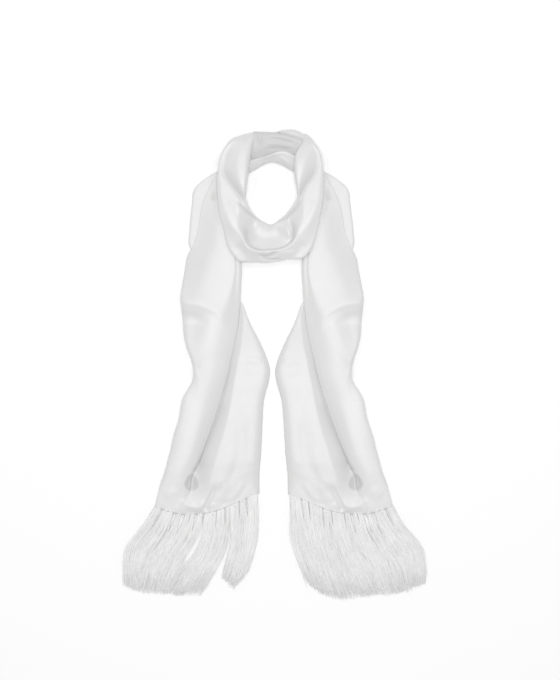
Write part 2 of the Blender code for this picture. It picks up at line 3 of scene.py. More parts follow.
import bpy
import numpy as np
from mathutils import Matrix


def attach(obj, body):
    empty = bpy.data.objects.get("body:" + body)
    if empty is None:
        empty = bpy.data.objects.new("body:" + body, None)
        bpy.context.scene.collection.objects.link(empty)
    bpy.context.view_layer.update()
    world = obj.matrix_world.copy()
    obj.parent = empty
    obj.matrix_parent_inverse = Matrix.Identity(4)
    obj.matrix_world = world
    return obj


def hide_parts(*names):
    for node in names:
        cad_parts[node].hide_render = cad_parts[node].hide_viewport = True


# White silk opera scarf, laid flat and wound once round its neck opening.
# Tables and paths are millimetres in the solids' own layout, and become metres in placed().

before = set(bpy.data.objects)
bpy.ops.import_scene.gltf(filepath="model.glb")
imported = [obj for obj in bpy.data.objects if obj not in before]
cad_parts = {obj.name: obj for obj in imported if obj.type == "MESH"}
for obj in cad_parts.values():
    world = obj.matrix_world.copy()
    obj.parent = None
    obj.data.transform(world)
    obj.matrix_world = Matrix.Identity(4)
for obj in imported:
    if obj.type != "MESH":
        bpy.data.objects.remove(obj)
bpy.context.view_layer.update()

centreY = 2.8                   # middle of the whole length, moved to the origin
axisX = -4.5                    # the two ends mirror about this line
swingPivot = (110.0, 180.0)     # the right end is turned a degree about this point
swingAngle = math.radians(1.0)
uvUnits = 0.1                   # of each uv map for a millimetre, so that a unit is 10 mm


def smooth(values, start, end):
    # a step from nothing at start to one at end: 3 t squared less 2 t cubed
    t = np.clip((values - start) / (end - start), 0.0, 1.0)
    return t * t * (3.0 - 2.0 * t)


def through(at, knownAt, known):
    # a cubic between each two known values, with slopes taken from their neighbours
    slope = np.gradient(known, knownAt, axis=0)
    i = np.clip(np.searchsorted(knownAt, at) - 1, 0, len(knownAt) - 2)
    span = knownAt[i + 1] - knownAt[i]
    t = (at - knownAt[i]) / span
    if known.ndim > 1:
        span, t = span[:, None], t[:, None]
    rest = 1.0 - t
    return (known[i] * (1 + 2 * t) * rest**2 + known[i + 1] * (3 - 2 * t) * t**2
            + slope[i] * span * t * rest**2 - slope[i + 1] * span * rest * t**2)


def splineWeights(count, at):
    # weights of a clamped cubic spline with count control points; each degree blends two
    # neighbours of the degree below it
    knots = np.concatenate([np.zeros(3), np.linspace(0.0, 1.0, count - 2), np.ones(3)])
    t = np.clip(at, 0.0, 1.0 - 1e-9)[:, None]
    weights = ((knots[:-1] <= t) & (t < knots[1:])).astype(float)
    for degree in (1, 2, 3):
        rise = knots[degree:-1] - knots[:-degree - 1]
        fall = knots[degree + 1:] - knots[1:-degree]
        up = (t - knots[:-degree - 1]) / np.where(rise > 0, rise, 1.0) * (rise > 0)
        down = (knots[degree + 1:] - t) / np.where(fall > 0, fall, 1.0) * (fall > 0)
        weights = up * weights[:, :-1] + down * weights[:, 1:]
    return weights


def splineRows(pairs, at):
    # one spline for each station, drawn toward its own control points
    controls = np.stack([np.stack(pair, -1) for pair in pairs], 1)
    return np.einsum("sc,rcx->rsx", splineWeights(len(pairs), at), controls)


def tableColumns(names, rows):
    # the columns of a table, by their names
    return dict(zip(names, np.array(rows, float).T))


def stationRows(piece, rows):
    # evenly spaced stations from the first row to the last, as shares of the way, and the
    # smooth curve of each column there
    table = tableColumns(piece["columns"], rows)
    known = np.arange(len(rows), dtype=float)
    at = np.linspace(0.0, known[-1], piece["stations"])
    return at / known[-1], {name: through(at, known, table[name]) for name in piece["columns"]}


def placed(points):
    # from millimetres in the solids' layout to metres about the origin
    return (points - np.array([0.0, centreY, 0.0])) * 0.001


def swung(distance, y, side):
    # a point of one end, mirrored by its side; the right end is also turned about its pivot
    if side < 0:
        return np.stack([axisX - distance, y], -1)
    a, b = distance - swingPivot[0], y - swingPivot[1]
    turned = swingPivot[0] + a * math.cos(swingAngle) - b * math.sin(swingAngle)
    raised = swingPivot[1] + a * math.sin(swingAngle) + b * math.cos(swingAngle)
    return np.stack([axisX + turned, raised], -1)


def creaseRelief(creases, x, y):
    # every crease is a height along a line, bell-shaped across it with its own width on
    # each side, and fading out over a share of its length at both ends
    relief = np.zeros_like(x)
    for height, leftWidth, rightWidth, fadeIn, fadeOut, line in creases:
        known = np.array(line, float)
        count = len(known)
        path = through(np.linspace(0, count - 1, 5 * count), np.arange(count, dtype=float), known)
        nearest = np.full(x.shape, 1e9)
        width = np.ones_like(x)
        along = np.zeros_like(x)
        for k in range(len(path) - 1):
            a, step = path[k], path[k + 1] - path[k]
            length2 = step @ step
            t = np.clip(((x - a[0]) * step[0] + (y - a[1]) * step[1]) / length2, 0.0, 1.0)
            away = np.hypot(x - a[0] - t * step[0], y - a[1] - t * step[1])
            turn = step[0] * (y - a[1]) - step[1] * (x - a[0])
            closer = away < nearest
            nearest = np.where(closer, away, nearest)
            width = np.where(closer, np.where(turn > 0, leftWidth, rightWidth), width)
            along = np.where(closer, (k + t) / (len(path) - 1), along)
        fade = smooth(along, -0.001, fadeIn) * (1.0 - smooth(along, 1.0 - fadeOut, 1.001))
        relief += height * fade * np.exp(-(nearest / width) ** 2)
    return relief


def closedMesh(name, points, faces, uv, material, shade):
    # one mesh from whole arrays, turned over if the volume inside its quads comes out negative
    quads = faces[faces[:, 3] >= 0]
    a, b, c, d = (points[quads[:, k]] for k in range(4))
    volume = np.einsum("ij,ij->", a, np.cross(b, c)) + np.einsum("ij,ij->", a, np.cross(c, d))
    if volume < 0:
        faces = np.where(faces[:, 3:] >= 0, faces[:, ::-1], faces[:, [2, 1, 0, 3]])
    mesh = bpy.data.meshes.new(name)
    lists = [face if face[3] >= 0 else face[:3] for face in faces.tolist()]
    mesh.from_pydata(placed(points).tolist(), [], lists)
    corner = np.empty(len(mesh.loops), np.int32)
    mesh.loops.foreach_get("vertex_index", corner)
    layer = mesh.uv_layers.new(name="cloth")
    layer.data.foreach_set("uv", (uv[corner] * uvUnits).ravel().astype(np.float32))
    mesh.attributes.new("shade", "FLOAT", "POINT").data.foreach_set("value", shade.astype(np.float32))
    mesh.shade_smooth()
    mesh.materials.append(material)
    piece = bpy.data.objects.new(name, mesh)
    bpy.context.scene.collection.objects.link(piece)
    return piece


def gridFaces(rows, cols, closed=False):
    # the quads of a grid, whose last column is joined to its first if it is closed
    r = np.arange(rows - 1)[:, None]
    c = np.arange(cols if closed else cols - 1)[None, :]
    here = r * cols + c
    beside = r * cols + (c + 1) % cols
    return np.stack([here, beside, beside + cols, here + cols], -1).reshape(-1, 4)


def surfaceNormals(grid, closed=False):
    # the cross product of a grid's steps across and along it, made one long
    along = np.gradient(grid, axis=0)
    if closed:
        across = np.roll(grid, -1, 1) - np.roll(grid, 1, 1)
    else:
        across = np.gradient(grid, axis=1)
    normal = np.cross(across, along)
    return normal / np.maximum(np.linalg.norm(normal, axis=2, keepdims=True), 1e-9)


def gridUv(grid):
    # lengths in millimetres across and along the cloth, taken at its middle
    across = np.linalg.norm(np.diff(grid.mean(0), axis=0), axis=1)
    along = np.linalg.norm(np.diff(grid.mean(1), axis=0), axis=1)
    u = np.concatenate([[0.0], np.cumsum(across)])
    v = np.concatenate([[0.0], np.cumsum(along)])
    return np.stack(np.broadcast_arrays(u[None, :], v[:, None]), -1)


def twoSkins(name, front, under, faces, rims, uv, shade, material, node):
    # a closed piece: the front skin, the same faces turned over on the other skin, and a strip
    # between the two along each rim
    total = shade.size
    joined = [faces, (faces + total)[:, ::-1]]
    for a, b in rims:
        joined.append(np.stack([a, b, b + total, a + total], -1))
    points = np.concatenate([front.reshape(-1, 3), under.reshape(-1, 3)])
    uv, shade = (np.concatenate([values, values]) for values in (uv.reshape(-1, 2), shade.ravel()))
    piece = closedMesh(name, points, np.concatenate(joined), uv, material, shade)
    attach(piece, "root")
    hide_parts(node)
    return piece


# materials

def shaderOf(material):
    # a new material's nodes, and its main shader
    material.use_nodes = True
    return material.node_tree, material.node_tree.nodes["Principled BSDF"]


def addNode(tree, kind, inputs=(), **settings):
    # a node with its settings, and the values of its inputs by name or number
    node = tree.nodes.new("ShaderNode" + kind)
    for key, value in settings.items():
        setattr(node, key, value)
    for key, value in dict(inputs).items():
        node.inputs[key].default_value = value
    return node


def clothMaterial(name, look):
    # one weave for every cloth and thread, with the look's own colour, gloss and scales
    material = bpy.data.materials.new(name)
    tree, shader = shaderOf(material)
    shader.inputs["Sheen Weight"].default_value = look["sheen"]
    shader.inputs["Sheen Roughness"].default_value = 0.45
    shader.inputs["Specular IOR Level"].default_value = look["specular"]

    # colour: the silk's own white, clouded a little, times the painted shade of each place
    place = addNode(tree, "TexCoord")
    shade = addNode(tree, "Attribute", attribute_name="shade")
    clouds = addNode(tree, "TexNoise", {"Scale": look["cloudScale"], "Detail": 3.0})
    level = addNode(tree, "MapRange", {"From Min": 0.3, "From Max": 0.7,
                                       "To Min": 1.0 - look["cloudDepth"], "To Max": 1.0})
    both = addNode(tree, "Math", operation="MULTIPLY")
    tint = addNode(tree, "Mix", {"Factor": 1.0}, data_type="RGBA", blend_type="MULTIPLY")
    tint.inputs[6].default_value = look["colour"] + (1.0,)      # its first colour

    # weave: long floats of the warp, closer lines of the weft, and slubs along the warp; the
    # slubs also change how tightly the surface shines
    warp = addNode(tree, "TexWave", {"Scale": look["warpScale"], "Distortion": 1.2,
                                     "Detail Scale": 0.6}, bands_direction="X")
    weft = addNode(tree, "TexWave", {"Scale": look["weftScale"], "Distortion": 0.8},
                   bands_direction="Y")
    stretch = addNode(tree, "Mapping", {"Scale": (14.0, 0.5, 1.0)})
    slubs = addNode(tree, "TexNoise", {"Scale": 1.0, "Detail": 2.0})
    woven = addNode(tree, "Math", {1: 0.55}, operation="MULTIPLY_ADD")      # the weft's share
    height = addNode(tree, "Math", {1: 1.6}, operation="MULTIPLY_ADD")      # the slubs' share
    bump = addNode(tree, "Bump", {"Strength": look["bump"], "Distance": 0.00012})
    gloss = addNode(tree, "MapRange", {"To Min": look["roughness"] - 0.05,
                                       "To Max": look["roughness"] + 0.05})

    for source, out, target, into in (
            (place, "Object", clouds, "Vector"), (clouds, "Fac", level, "Value"),
            (level, "Result", both, 0), (shade, "Fac", both, 1),
            (both, "Value", tint, 7), (tint, 2, shader, "Base Color"),
            (place, "UV", warp, "Vector"), (place, "UV", weft, "Vector"),
            (place, "UV", stretch, "Vector"), (stretch, "Vector", slubs, "Vector"),
            (weft, "Fac", woven, 0), (warp, "Fac", woven, 2),
            (slubs, "Fac", height, 0), (woven, "Value", height, 2),
            (height, "Value", bump, "Height"), (bump, "Normal", shader, "Normal"),
            (slubs, "Fac", gloss, "Value"), (gloss, "Result", shader, "Roughness")):
        tree.links.new(source.outputs[out], target.inputs[into])
    return material


satinLook = dict(
    colour=(0.785, 0.785, 0.783), roughness=0.30, specular=0.5, sheen=0.05,
    cloudScale=9.0, cloudDepth=0.02, warpScale=6.0, weftScale=8.0, bump=0.2)
satin = clothMaterial("silkSatin", satinLook)
# the satin's duller reverse side, its colour also lowered as painted shade for the inside of the neck
# loop
satinReverseShaded = clothMaterial("silkSatinReverseShaded", dict(
    satinLook, colour=(0.69, 0.69, 0.688), roughness=0.42, specular=0.4, cloudDepth=0.03))
fringeSilk = clothMaterial("silkFringe", dict(
    colour=(0.99, 0.99, 0.988), roughness=0.45, specular=0.5, sheen=0.2,
    cloudScale=40.0, cloudDepth=0.06, warpScale=4.0, weftScale=4.0, bump=0.1))
print("materials made")


# the fringe's sizes, which the hem also uses

fringe = dict(
    guideColumns=("across", "quarter", "half", "threeQuarters", "tip", "fall"),
    guides={
        -1: ((0.0, 20, 44, 48, 48, 132), (0.15, 14, 38, 49.5, 53, 131),
             (0.32, 10.5, 29.5, 45.5, 57, 128.5), (0.475, 5, 21, 40, 57.5, 132),
             (0.6, 3, 14.5, 33.5, 53, 139), (0.7, 0, 7, 25, 45, 145),
             (0.74, 0, 0, 6.5, 16, 122), (0.87, -3, 0, 9.5, 20.5, 150),
             (1, 0, 2.5, 9, 20.5, 133)),
        1: ((0.0, 18, 43.5, 51, 52, 129), (0.15, 14.5, 35, 48, 53, 131),
            (0.32, 10.5, 28, 44, 55, 129.5), (0.475, 6.5, 21, 38.5, 54.5, 134.5),
            (0.6, 5, 16, 31, 46.5, 143), (0.72, 4, 13.5, 26.5, 41, 154),
            (0.87, 5, 13, 25, 38.5, 158.5), (1, 1.5, 6.5, 21, 36.5, 152.5)),
    },
    split={-1: (0.70, 0.74), 1: None},      # the left fringe parts into two bundles here
    # slits between bundles: place across the hem, half width, where it opens and closes
    slits={-1: ((0.46, 0.046, 0.00, 1.10), (0.17, 0.014, 0.08, 0.70), (0.06, 0.020, 0.05, 0.90)),
           1: ((0.30, 0.012, 0.10, 0.60), (0.62, 0.020, 0.10, 0.85), (0.94, 0.030, 0.35, 1.20))},
    # how far each knot's threads spread at the root, of the space it has, in the two layers
    rootSpreads=(
        (1.2, 0.9, 1.1, 0.75, 0.9, 0.62, 0.85, 1.25, 1.25, 1.2, 1.3, 1.2, 0.95, 0.9, 1.1),
        (0.8, 0.55, 0.72, 0.5, 0.6, 0.48, 0.66, 0.95, 1.05, 1, 0.9, 1.05, 0.62, 0.58, 0.74),
    ),
    splitOpens=(0.15, 0.5), slitReach=0.06,     # shares of the way down; of the hem
    knots=15, threads=90, perTuft=15,           # threads in a knot, and in a tuft of one length
    rings=12, crowding=1.15,                    # the rings lie a little closer at the hem
    spreads=(0.02, 0.42), spreadTo=1.3, scatter=0.012,      # each knot's threads widen to this
    tuftShorter=0.07, threadShorter=0.13, aboveHem=1.2,
    # speed and reach of the waves, sideways and upward; share and reach of the stray threads
    sways=((5.0, 1.4), (11.0, 0.5)), swayFrom=(0.05, 0.6), ripple=(9.0, 0.4),
    strays=0.025, strayReach=5.0,
    rootZ=(2.0, 4.2), rootReach=0.16, lowestZ=0.6, layerZ=1.2, looseZ=1.2,
    humpZ=1.2, humpAt=0.22, humpWide=0.2,       # the upper layer rises over the lower one's roots
    radius=0.46, flatness=0.22, thinner=0.35, thinnerFrom=0.6, roll=0.28,
    # painted shade: some threads shaded toward their tips, for the shade among the loose ends
    tipShade=0.28, tipShadeFrom=0.78, toneFrom=0.90,
    uvLength=130.0, uvStep=3.0,
)


def knotPlaces():
    # evenly spaced places across the hem, moved a little by two sine waves
    k = np.arange(fringe["knots"])
    return (k + 0.5 + 0.16 * np.sin(2.1 * k) + 0.10 * np.sin(5.3 * k)) / fringe["knots"]


# the two pleated ends

tail = dict(
    columns=("y", "outer", "nose", "back", "inner", "ridge", "outerZ", "rollZ",
             "crestAt", "crestZ", "fallAt", "noseZ", "valleyZ", "ridgeZ"),
    rows=(
        (326, 80, 47.5, 80, 45, 62, 5.2, 5.4, 0.5, 5.6, 0.75, 5.4, 0.6, 0.6),
        (316, 85, 50, 85.5, 47, 68, 5.2, 5.4, 0.5, 5.7, 0.75, 5.5, 0.6, 0.6),
        (307, 90, 52, 101, 50, 76, 5.2, 5.4, 0.5, 5.8, 0.75, 5.6, 0.6, 0.6),
        (300, 93, 53.5, 110.5, 56, 82, 5.3, 5.5, 0.52, 6.4, 0.78, 5.7, 0.6, 0.6),
        (291, 98, 56, 120.5, 68, 92, 5.3, 5.5, 0.56, 7.4, 0.8, 6, 0.6, 0.6),
        (283, 102, 58, 124.5, 80, 98, 5.3, 5.5, 0.6, 8.4, 0.82, 6.4, 0.6, 0.6),
        (266, 109, 60, 126.5, 84, 101, 5.3, 5.5, 0.62, 9.6, 0.86, 7, 0.6, 0.6),
        (243, 114, 60, 129, 80, 102, 5.3, 5.4, 0.57, 11.4, 0.88, 7.6, 0.6, 0.6),
        (218, 118, 58, 131, 88, 106, 5.2, 5.3, 0.54, 12, 0.86, 7.4, 0.6, 0.6),
        (195, 126, 55, 131, 92, 108, 4.8, 4.9, 0.52, 12, 0.86, 7, 0.6, 0.6),
        (179, 135, 51, 122, 90, 102, 0.8, 4.2, 0.46, 12, 0.88, 9.2, 0.6, 0.6),
        (157, 139, 49, 110, 78, 90, 0.8, 4.6, 0.41, 11.8, 0.88, 9.4, 0.6, 0.6),
        (133, 143, 50, 99, 62, 74, 0.8, 6.6, 0.35, 11.8, 0.84, 8.4, 0.6, 0.6),
        (110, 146, 51, 94, 51, 58, 0.8, 9.8, 0.33, 12.2, 0.76, 6.6, 0.6, 0.6),
        (99, 145, 52, 92, 45, 49, 0.8, 10.2, 0.33, 12.2, 0.72, 5.6, 0.6, 1.5),
        (90, 144, 53, 91, 42, 46, 0.8, 10.5, 0.32, 12.2, 0.68, 5.2, 0.6, 3),
        (70, 142, 55, 89, 34, 45, 0.8, 10.9, 0.3, 12.4, 0.6, 5, 0.6, 4.5),
        (48, 140, 59, 89, 22.5, 47, 0.8, 11.3, 0.3, 12.6, 0.56, 4.9, 0.6, 5.5),
        (29, 135, 63, 92, 13.5, 50, 0.8, 11.4, 0.26, 12.4, 0.52, 4.8, 0.6, 6.5),
        (13, 129, 67, 94, 7, 54, 1.2, 11.1, 0.22, 12, 0.47, 4.8, 0.6, 7),
        (-5, 125, 70, 95, 3, 57, 2.8, 10.9, 0.22, 11.8, 0.44, 4.8, 0.6, 7.5),
        (-19, 126, 74, 98, 4.5, 60, 1.8, 10.7, 0.25, 11.8, 0.44, 4.8, 0.6, 8),
        (-48, 142, 82.5, 104, 12, 64.5, 0.8, 10.7, 0.33, 12.2, 0.5, 4.7, 0.6, 8),
        (-83, 149, 93.5, 112, 15, 71.5, 0.8, 10.6, 0.32, 12.4, 0.56, 4.6, 0.6, 8.5),
        (-112, 158, 103.5, 117, 16, 79.5, 0.8, 10.2, 0.38, 12, 0.61, 4.6, 0.6, 8.5),
        (-131, 162, 111, 120, 17, 86, 0.8, 9.8, 0.42, 11.4, 0.62, 4.6, 0.6, 8.5),
        (-139, 164, 114, 121, 17, 88.5, 0.8, 9.6, 0.43, 11.2, 0.62, 4.6, 0.6, 8.5),
        (-146, 166, 117, 121, 17.5, 91, 0.8, 9.4, 0.4, 10.8, 0.6, 4.6, 0.6, 8.5),
        (-152, 167.5, 120.5, 121, 18, 92.5, 0.8, 9.2, 0.38, 10.6, 0.58, 4.7, 0.6, 8.5),
        (-157, 168.5, 124, 121.5, 18, 94, 0.8, 9, 0.37, 10.4, 0.56, 4.8, 0.6, 8.4),
        (-163, 170, 128, 124.5, 18.5, 96, 0.8, 8.9, 0.37, 10.2, 0.55, 5, 0.6, 8.2),
        (-168, 171.5, 130.5, 127, 19, 97.5, 0.8, 8.8, 0.37, 10, 0.55, 5, 0.6, 8),
        (-173, 173, 132, 128.5, 19, 98.5, 0.8, 8.6, 0.38, 9.8, 0.55, 5, 0.6, 7.8),
        (-178, 175, 132.5, 129, 19.5, 99.5, 0.8, 8.4, 0.38, 9.6, 0.55, 5, 0.8, 7.6),
        (-184, 177, 133, 129.5, 20, 100.5, 0.8, 8.2, 0.38, 9.2, 0.55, 4.8, 1.4, 7.2),
        (-190, 179, 134.5, 130.5, 20, 101.5, 0.8, 7.8, 0.4, 8.7, 0.55, 4.6, 2.4, 6.8),
        (-198, 181, 137.5, 133, 20, 102, 0.8, 7.2, 0.45, 8, 0.55, 4.8, 3.8, 6.4),
        (-206, 183, 140, 135, 20, 102, 0.8, 6.4, 0.45, 7.2, 0.55, 5.2, 4.9, 6),
        (-214, 185, 143, 137.5, 20, 101, 0.8, 5.6, 0.45, 6.2, 0.55, 5.4, 5.3, 5.4),
        (-224, 187, 147, 140, 20, 99, 0.8, 4.6, 0.45, 5, 0.55, 4.2, 3.9, 4.2),
    ),
    hem=((0.0, 1), (0.16, -8), (0.32, -12), (0.475, -10),
         (0.6, -5), (0.72, 3), (0.84, 12), (1, 23)),
    hemY=-224.0, hemStartsY=-100.0,
    wall=1.2, lowerZ=0.6, middleZ=2.8, foldBulge=1.4, foldReach=(0.7, 3.2),
    foldOpens=(-2.0, 3.0), openSpread=3.5, openFoot=3.0,
    stations=320, samples=(46, 34, 50),     # along the end; across its three parts
    # where the parts meet, counted in the spline's spans, and where their creases fade
    meetAt=(6.5, 17.6), topFade=0.8, lowFade=0.06, hemFade=(150.0, 190.0),
    # height, width on the left and on the right of the line, fades, line of (distance, y)
    topCreases=(
        (0.9, 5, 12, 0.02, 0.3, ((152, 107), (130.5, 103.5), (114.5, 101), (98.5, 94.5),
            (87, 87.5), (78, 73), (73, 54))),
        (-3.1, 48, 14, 0.02, 0.65, ((152, 80), (127, 77.5), (110, 74.5), (95, 71))),
        (0.3, 5, 4, 0.3, 0.3, ((137, 61), (134, 29), (126, 9))),
        (0.7, 5, 6, 0.05, 0.6, ((128, -3), (117, -14), (118, -38), (126, -59))),
        (-0.7, 4, 5, 0.05, 0.6, ((128, 3), (117, 6), (104, 20))),
        (1, 9, 9, 0.3, 0.5, ((172, -208), (160, -200), (150, -190))),
        (-0.6, 8, 8, 0.4, 0.4, ((150, -96), (159, -131), (168, -168))),
    ),
    lowCreases=(
        (-1.8, 4, 6, 0.3, 0.2, ((89, -186), (98.5, -209), (110, -232))),
        (1, 3.5, 4.5, 0.4, 0.2, ((82, -184), (92, -209), (104, -228))),
        (-0.8, 3, 3, 0.4, 0.2, ((77, -180), (86, -204), (95, -220))),
        (0.7, 3.5, 3.5, 0.4, 0.2, ((68, -178), (80, -200), (90, -216))),
        (-0.8, 4, 4, 0.45, 0.1, ((54, -180), (66, -206), (80, -222))),
        (0.7, 4, 4, 0.45, 0.1, ((46, -178), (58, -200), (70, -214))),
        (-0.7, 3.5, 3.5, 0.45, 0.1, ((38, -180), (49, -202), (61, -216))),
        (-1.2, 13, 9, 0.35, 0.3, ((50, -51), (46, -99), (49, -139), (62, -171), (76, -195))),
        (0.7, 8, 8, 0.3, 0.3, ((66, -120), (69, -158), (79, -180), (92, -196))),
        (-0.6, 9, 12, 0.3, 0.4, ((46, 8), (30, 0), (16, -12))),
        (0.4, 7, 5, 0.4, 0.2, ((50, 15), (31, 13), (14, 10))),
    ),
    hemCreases=(
        (-1.3, 7, 5, 0.3, 0.3, ((142, -228), (129, -231), (117, -232), (108, -228))),
        (0.8, 5, 5, 0.2, 0.2, ((148, -208), (132, -221), (119, -224), (103, -214))),
    ),
    # mouth of the pleat: middle, half width, reach toward the hem and away from it, the height of its
    # floor, its painted shade, and the shares of the way in over which floor and painted shade set in
    mouth=dict(across=128.4, along=-186.4, halfWidth=13.5, below=13.0, above=20.0,
               floorZ=2.8, shade=0.19, floorFrom=(0.0, 0.90), shadeFrom=(0.04, 0.26)),
    # painted shade between the knots, along the very edge of the hem
    holeShade=0.10, holeReach=2.6, holeBeside=(0.12, 0.40),
    # painted shade where the folds' shadow falls and painted light where they catch more light, as lines
    # like the creases
    shadows=(
        (-0.14, 2.6, 3, 0.45, 0.03, ((52, 88), (58, 37), (65.5, 5), (74.5, -35), (86.5, -75),
            (100, -111), (115, -145), (128, -169))),
        (-0.09, 6.5, 6.5, 0.22, 0.12, ((73, -48), (79, -67), (91, -99), (104, -131), (115, -157),
            (122, -172))),
        (-0.06, 8, 8, 0.35, 0.15, ((101, -134), (107, -155), (110, -171), (114, -186))),
        (-0.13, 5, 5, 0.7, 0.15, ((89, 290), (91, 278), (94.5, 267))),
        (-0.05, 8, 8, 0.02, 0.5, ((152, 91), (130, 89), (112, 85), (100, 77))),
        (0.05, 3.5, 3.5, 0.02, 0.5, ((152, 71), (132, 73), (114, 71), (100, 62))),
        (0.08, 15, 15, 0.35, 0.3, ((122, 25), (122, -20), (128, -60), (134, -100),
            (141, -135), (150, -165), (157, -200))),
        (0.08, 16, 26, 0.02, 0.3, ((188, -202), (172, -214), (156, -222), (144, -227))),
        (0.07, 16, 24, 0.3, 0.02, ((104, -232), (86, -231), (60, -226), (20, -204))),
        (-0.1, 3, 3, 0.3, 0.3, ((128, -232), (117, -233.5), (106, -228))),
    ),
)


def hemOffset(share):
    # how far the hem lies above its level, at a share of the way in from the outer edge
    hem = np.array(tail["hem"], float)
    return through(np.clip(share, 0.0, 1.0), hem[:, 0], hem[:, 1])


def tailRow(heights):
    # the smooth curve of each of the end's columns, at any heights
    table = tableColumns(tail["columns"], tail["rows"])
    return {name: through(-heights, -table["y"], table[name]) for name in tail["columns"]}


def pleatControls(row):
    # a section's control points from the outer edge over the top layer, through the pleat's two
    # turns and along the lower layer; where the overlap is gone, the turns open into a slope
    (outer, nose, back, inner, ridge, outerZ, rollZ, crestAt, crestZ, fallAt, noseZ,
     valleyZ, ridgeZ) = (row[name] for name in tail["columns"][1:])
    lowerZ, middleZ, bulge = tail["lowerZ"], tail["middleZ"], tail["foldBulge"]
    width, overlap = outer - nose, back - nose
    folded = smooth(overlap, *tail["foldOpens"])
    near = tail["foldReach"][0] * np.clip(overlap / tail["foldReach"][1], 0.0, 1.0)
    far = np.clip(0.35 * overlap, near, tail["foldReach"][1])
    lipZ = noseZ - 0.3
    beside = np.maximum(nose - ridge, 2.5)
    inside = ridge - inner
    openBack = np.minimum(back, nose - tail["openSpread"])
    crest, fall = outer - crestAt * width, outer - fallAt * width
    top = (
        (outer, outerZ),                                        # the rolled outer edge
        (outer - 0.3, outerZ + 0.7 * (rollZ - outerZ)),
        (outer - 1.8, rollZ),
        (0.5 * (outer - 4.5 + crest), 0.5 * (rollZ + crestZ)),
        (crest, crestZ),                                        # the top layer's crest
        (fall, crestZ),
        (0.5 * fall + 0.5 * (nose + 0.08 * width), crestZ - 0.30 * (crestZ - noseZ)),
        (nose + 0.08 * width, noseZ + 0.22 * (crestZ - noseZ)),
    )
    folds = (
        (nose + far, lipZ + 0.7 * folded),
        (nose + near, lipZ - 0.3 * folded),
        (nose - bulge, 0.5 * (lipZ + middleZ)),                 # the turn under the nose
        (nose + near, middleZ),
        (nose + far, middleZ),
        (nose + 0.50 * overlap, middleZ),
        (back - far, middleZ),
        (back - near, middleZ),
        (back + bulge, 0.5 * (middleZ + lowerZ)),               # the turn at the back
        (back - near, lowerZ),
        (back - far, lowerZ),
    )
    pleat = []
    for share, (distance, z) in zip(np.linspace(0.0, 1.0, len(folds)), folds):
        openDistance = nose + share * (openBack - nose)
        openZ = lipZ + share * (valleyZ - lipZ)
        pleat.append((folded * distance + (1 - folded) * openDistance,
                      folded * z + (1 - folded) * openZ))
    start = folded * (ridge + 1.15 * beside) + (1 - folded) * (openBack - tail["openFoot"])
    start = np.minimum(start, pleat[-1][0] - 2.5)
    bottom = (
        (0.45 * pleat[-1][0] + 0.55 * start, valleyZ),
        (start, valleyZ),                                       # the valley beside the pleat
        (ridge + 0.5 * (start - ridge), valleyZ + 0.48 * (ridgeZ - valleyZ)),
        (ridge + 0.6, ridgeZ - 0.04 * (ridgeZ - valleyZ)),
        (ridge - 0.04 * inside, ridgeZ),                        # the lower layer's ridge
        (ridge - 0.45 * inside, lowerZ + 0.96 * (ridgeZ - lowerZ)),
        (ridge - 0.85 * inside, lowerZ + 0.90 * (ridgeZ - lowerZ)),
        (ridge - 0.96 * inside, lowerZ + 0.55 * (ridgeZ - lowerZ)),
        (inner, lowerZ + 0 * inner),                            # the inner edge
    )
    return top + tuple(pleat) + bottom


def mouthShare(distance, y):
    # one in the middle of the pleat's mouth, falling evenly to nothing at its drop-shaped outline
    mouth = tail["mouth"]
    up = np.clip((y - mouth["along"]) / mouth["above"], 0.0, 1.0)
    down = np.clip((mouth["along"] - y) / mouth["below"], 0.0, 1.0)
    across = (distance - mouth["across"]) / (mouth["halfWidth"] * (1.0 - 0.4 * up))
    return np.clip(1.0 - np.hypot(across, up + down), 0.0, 1.0)


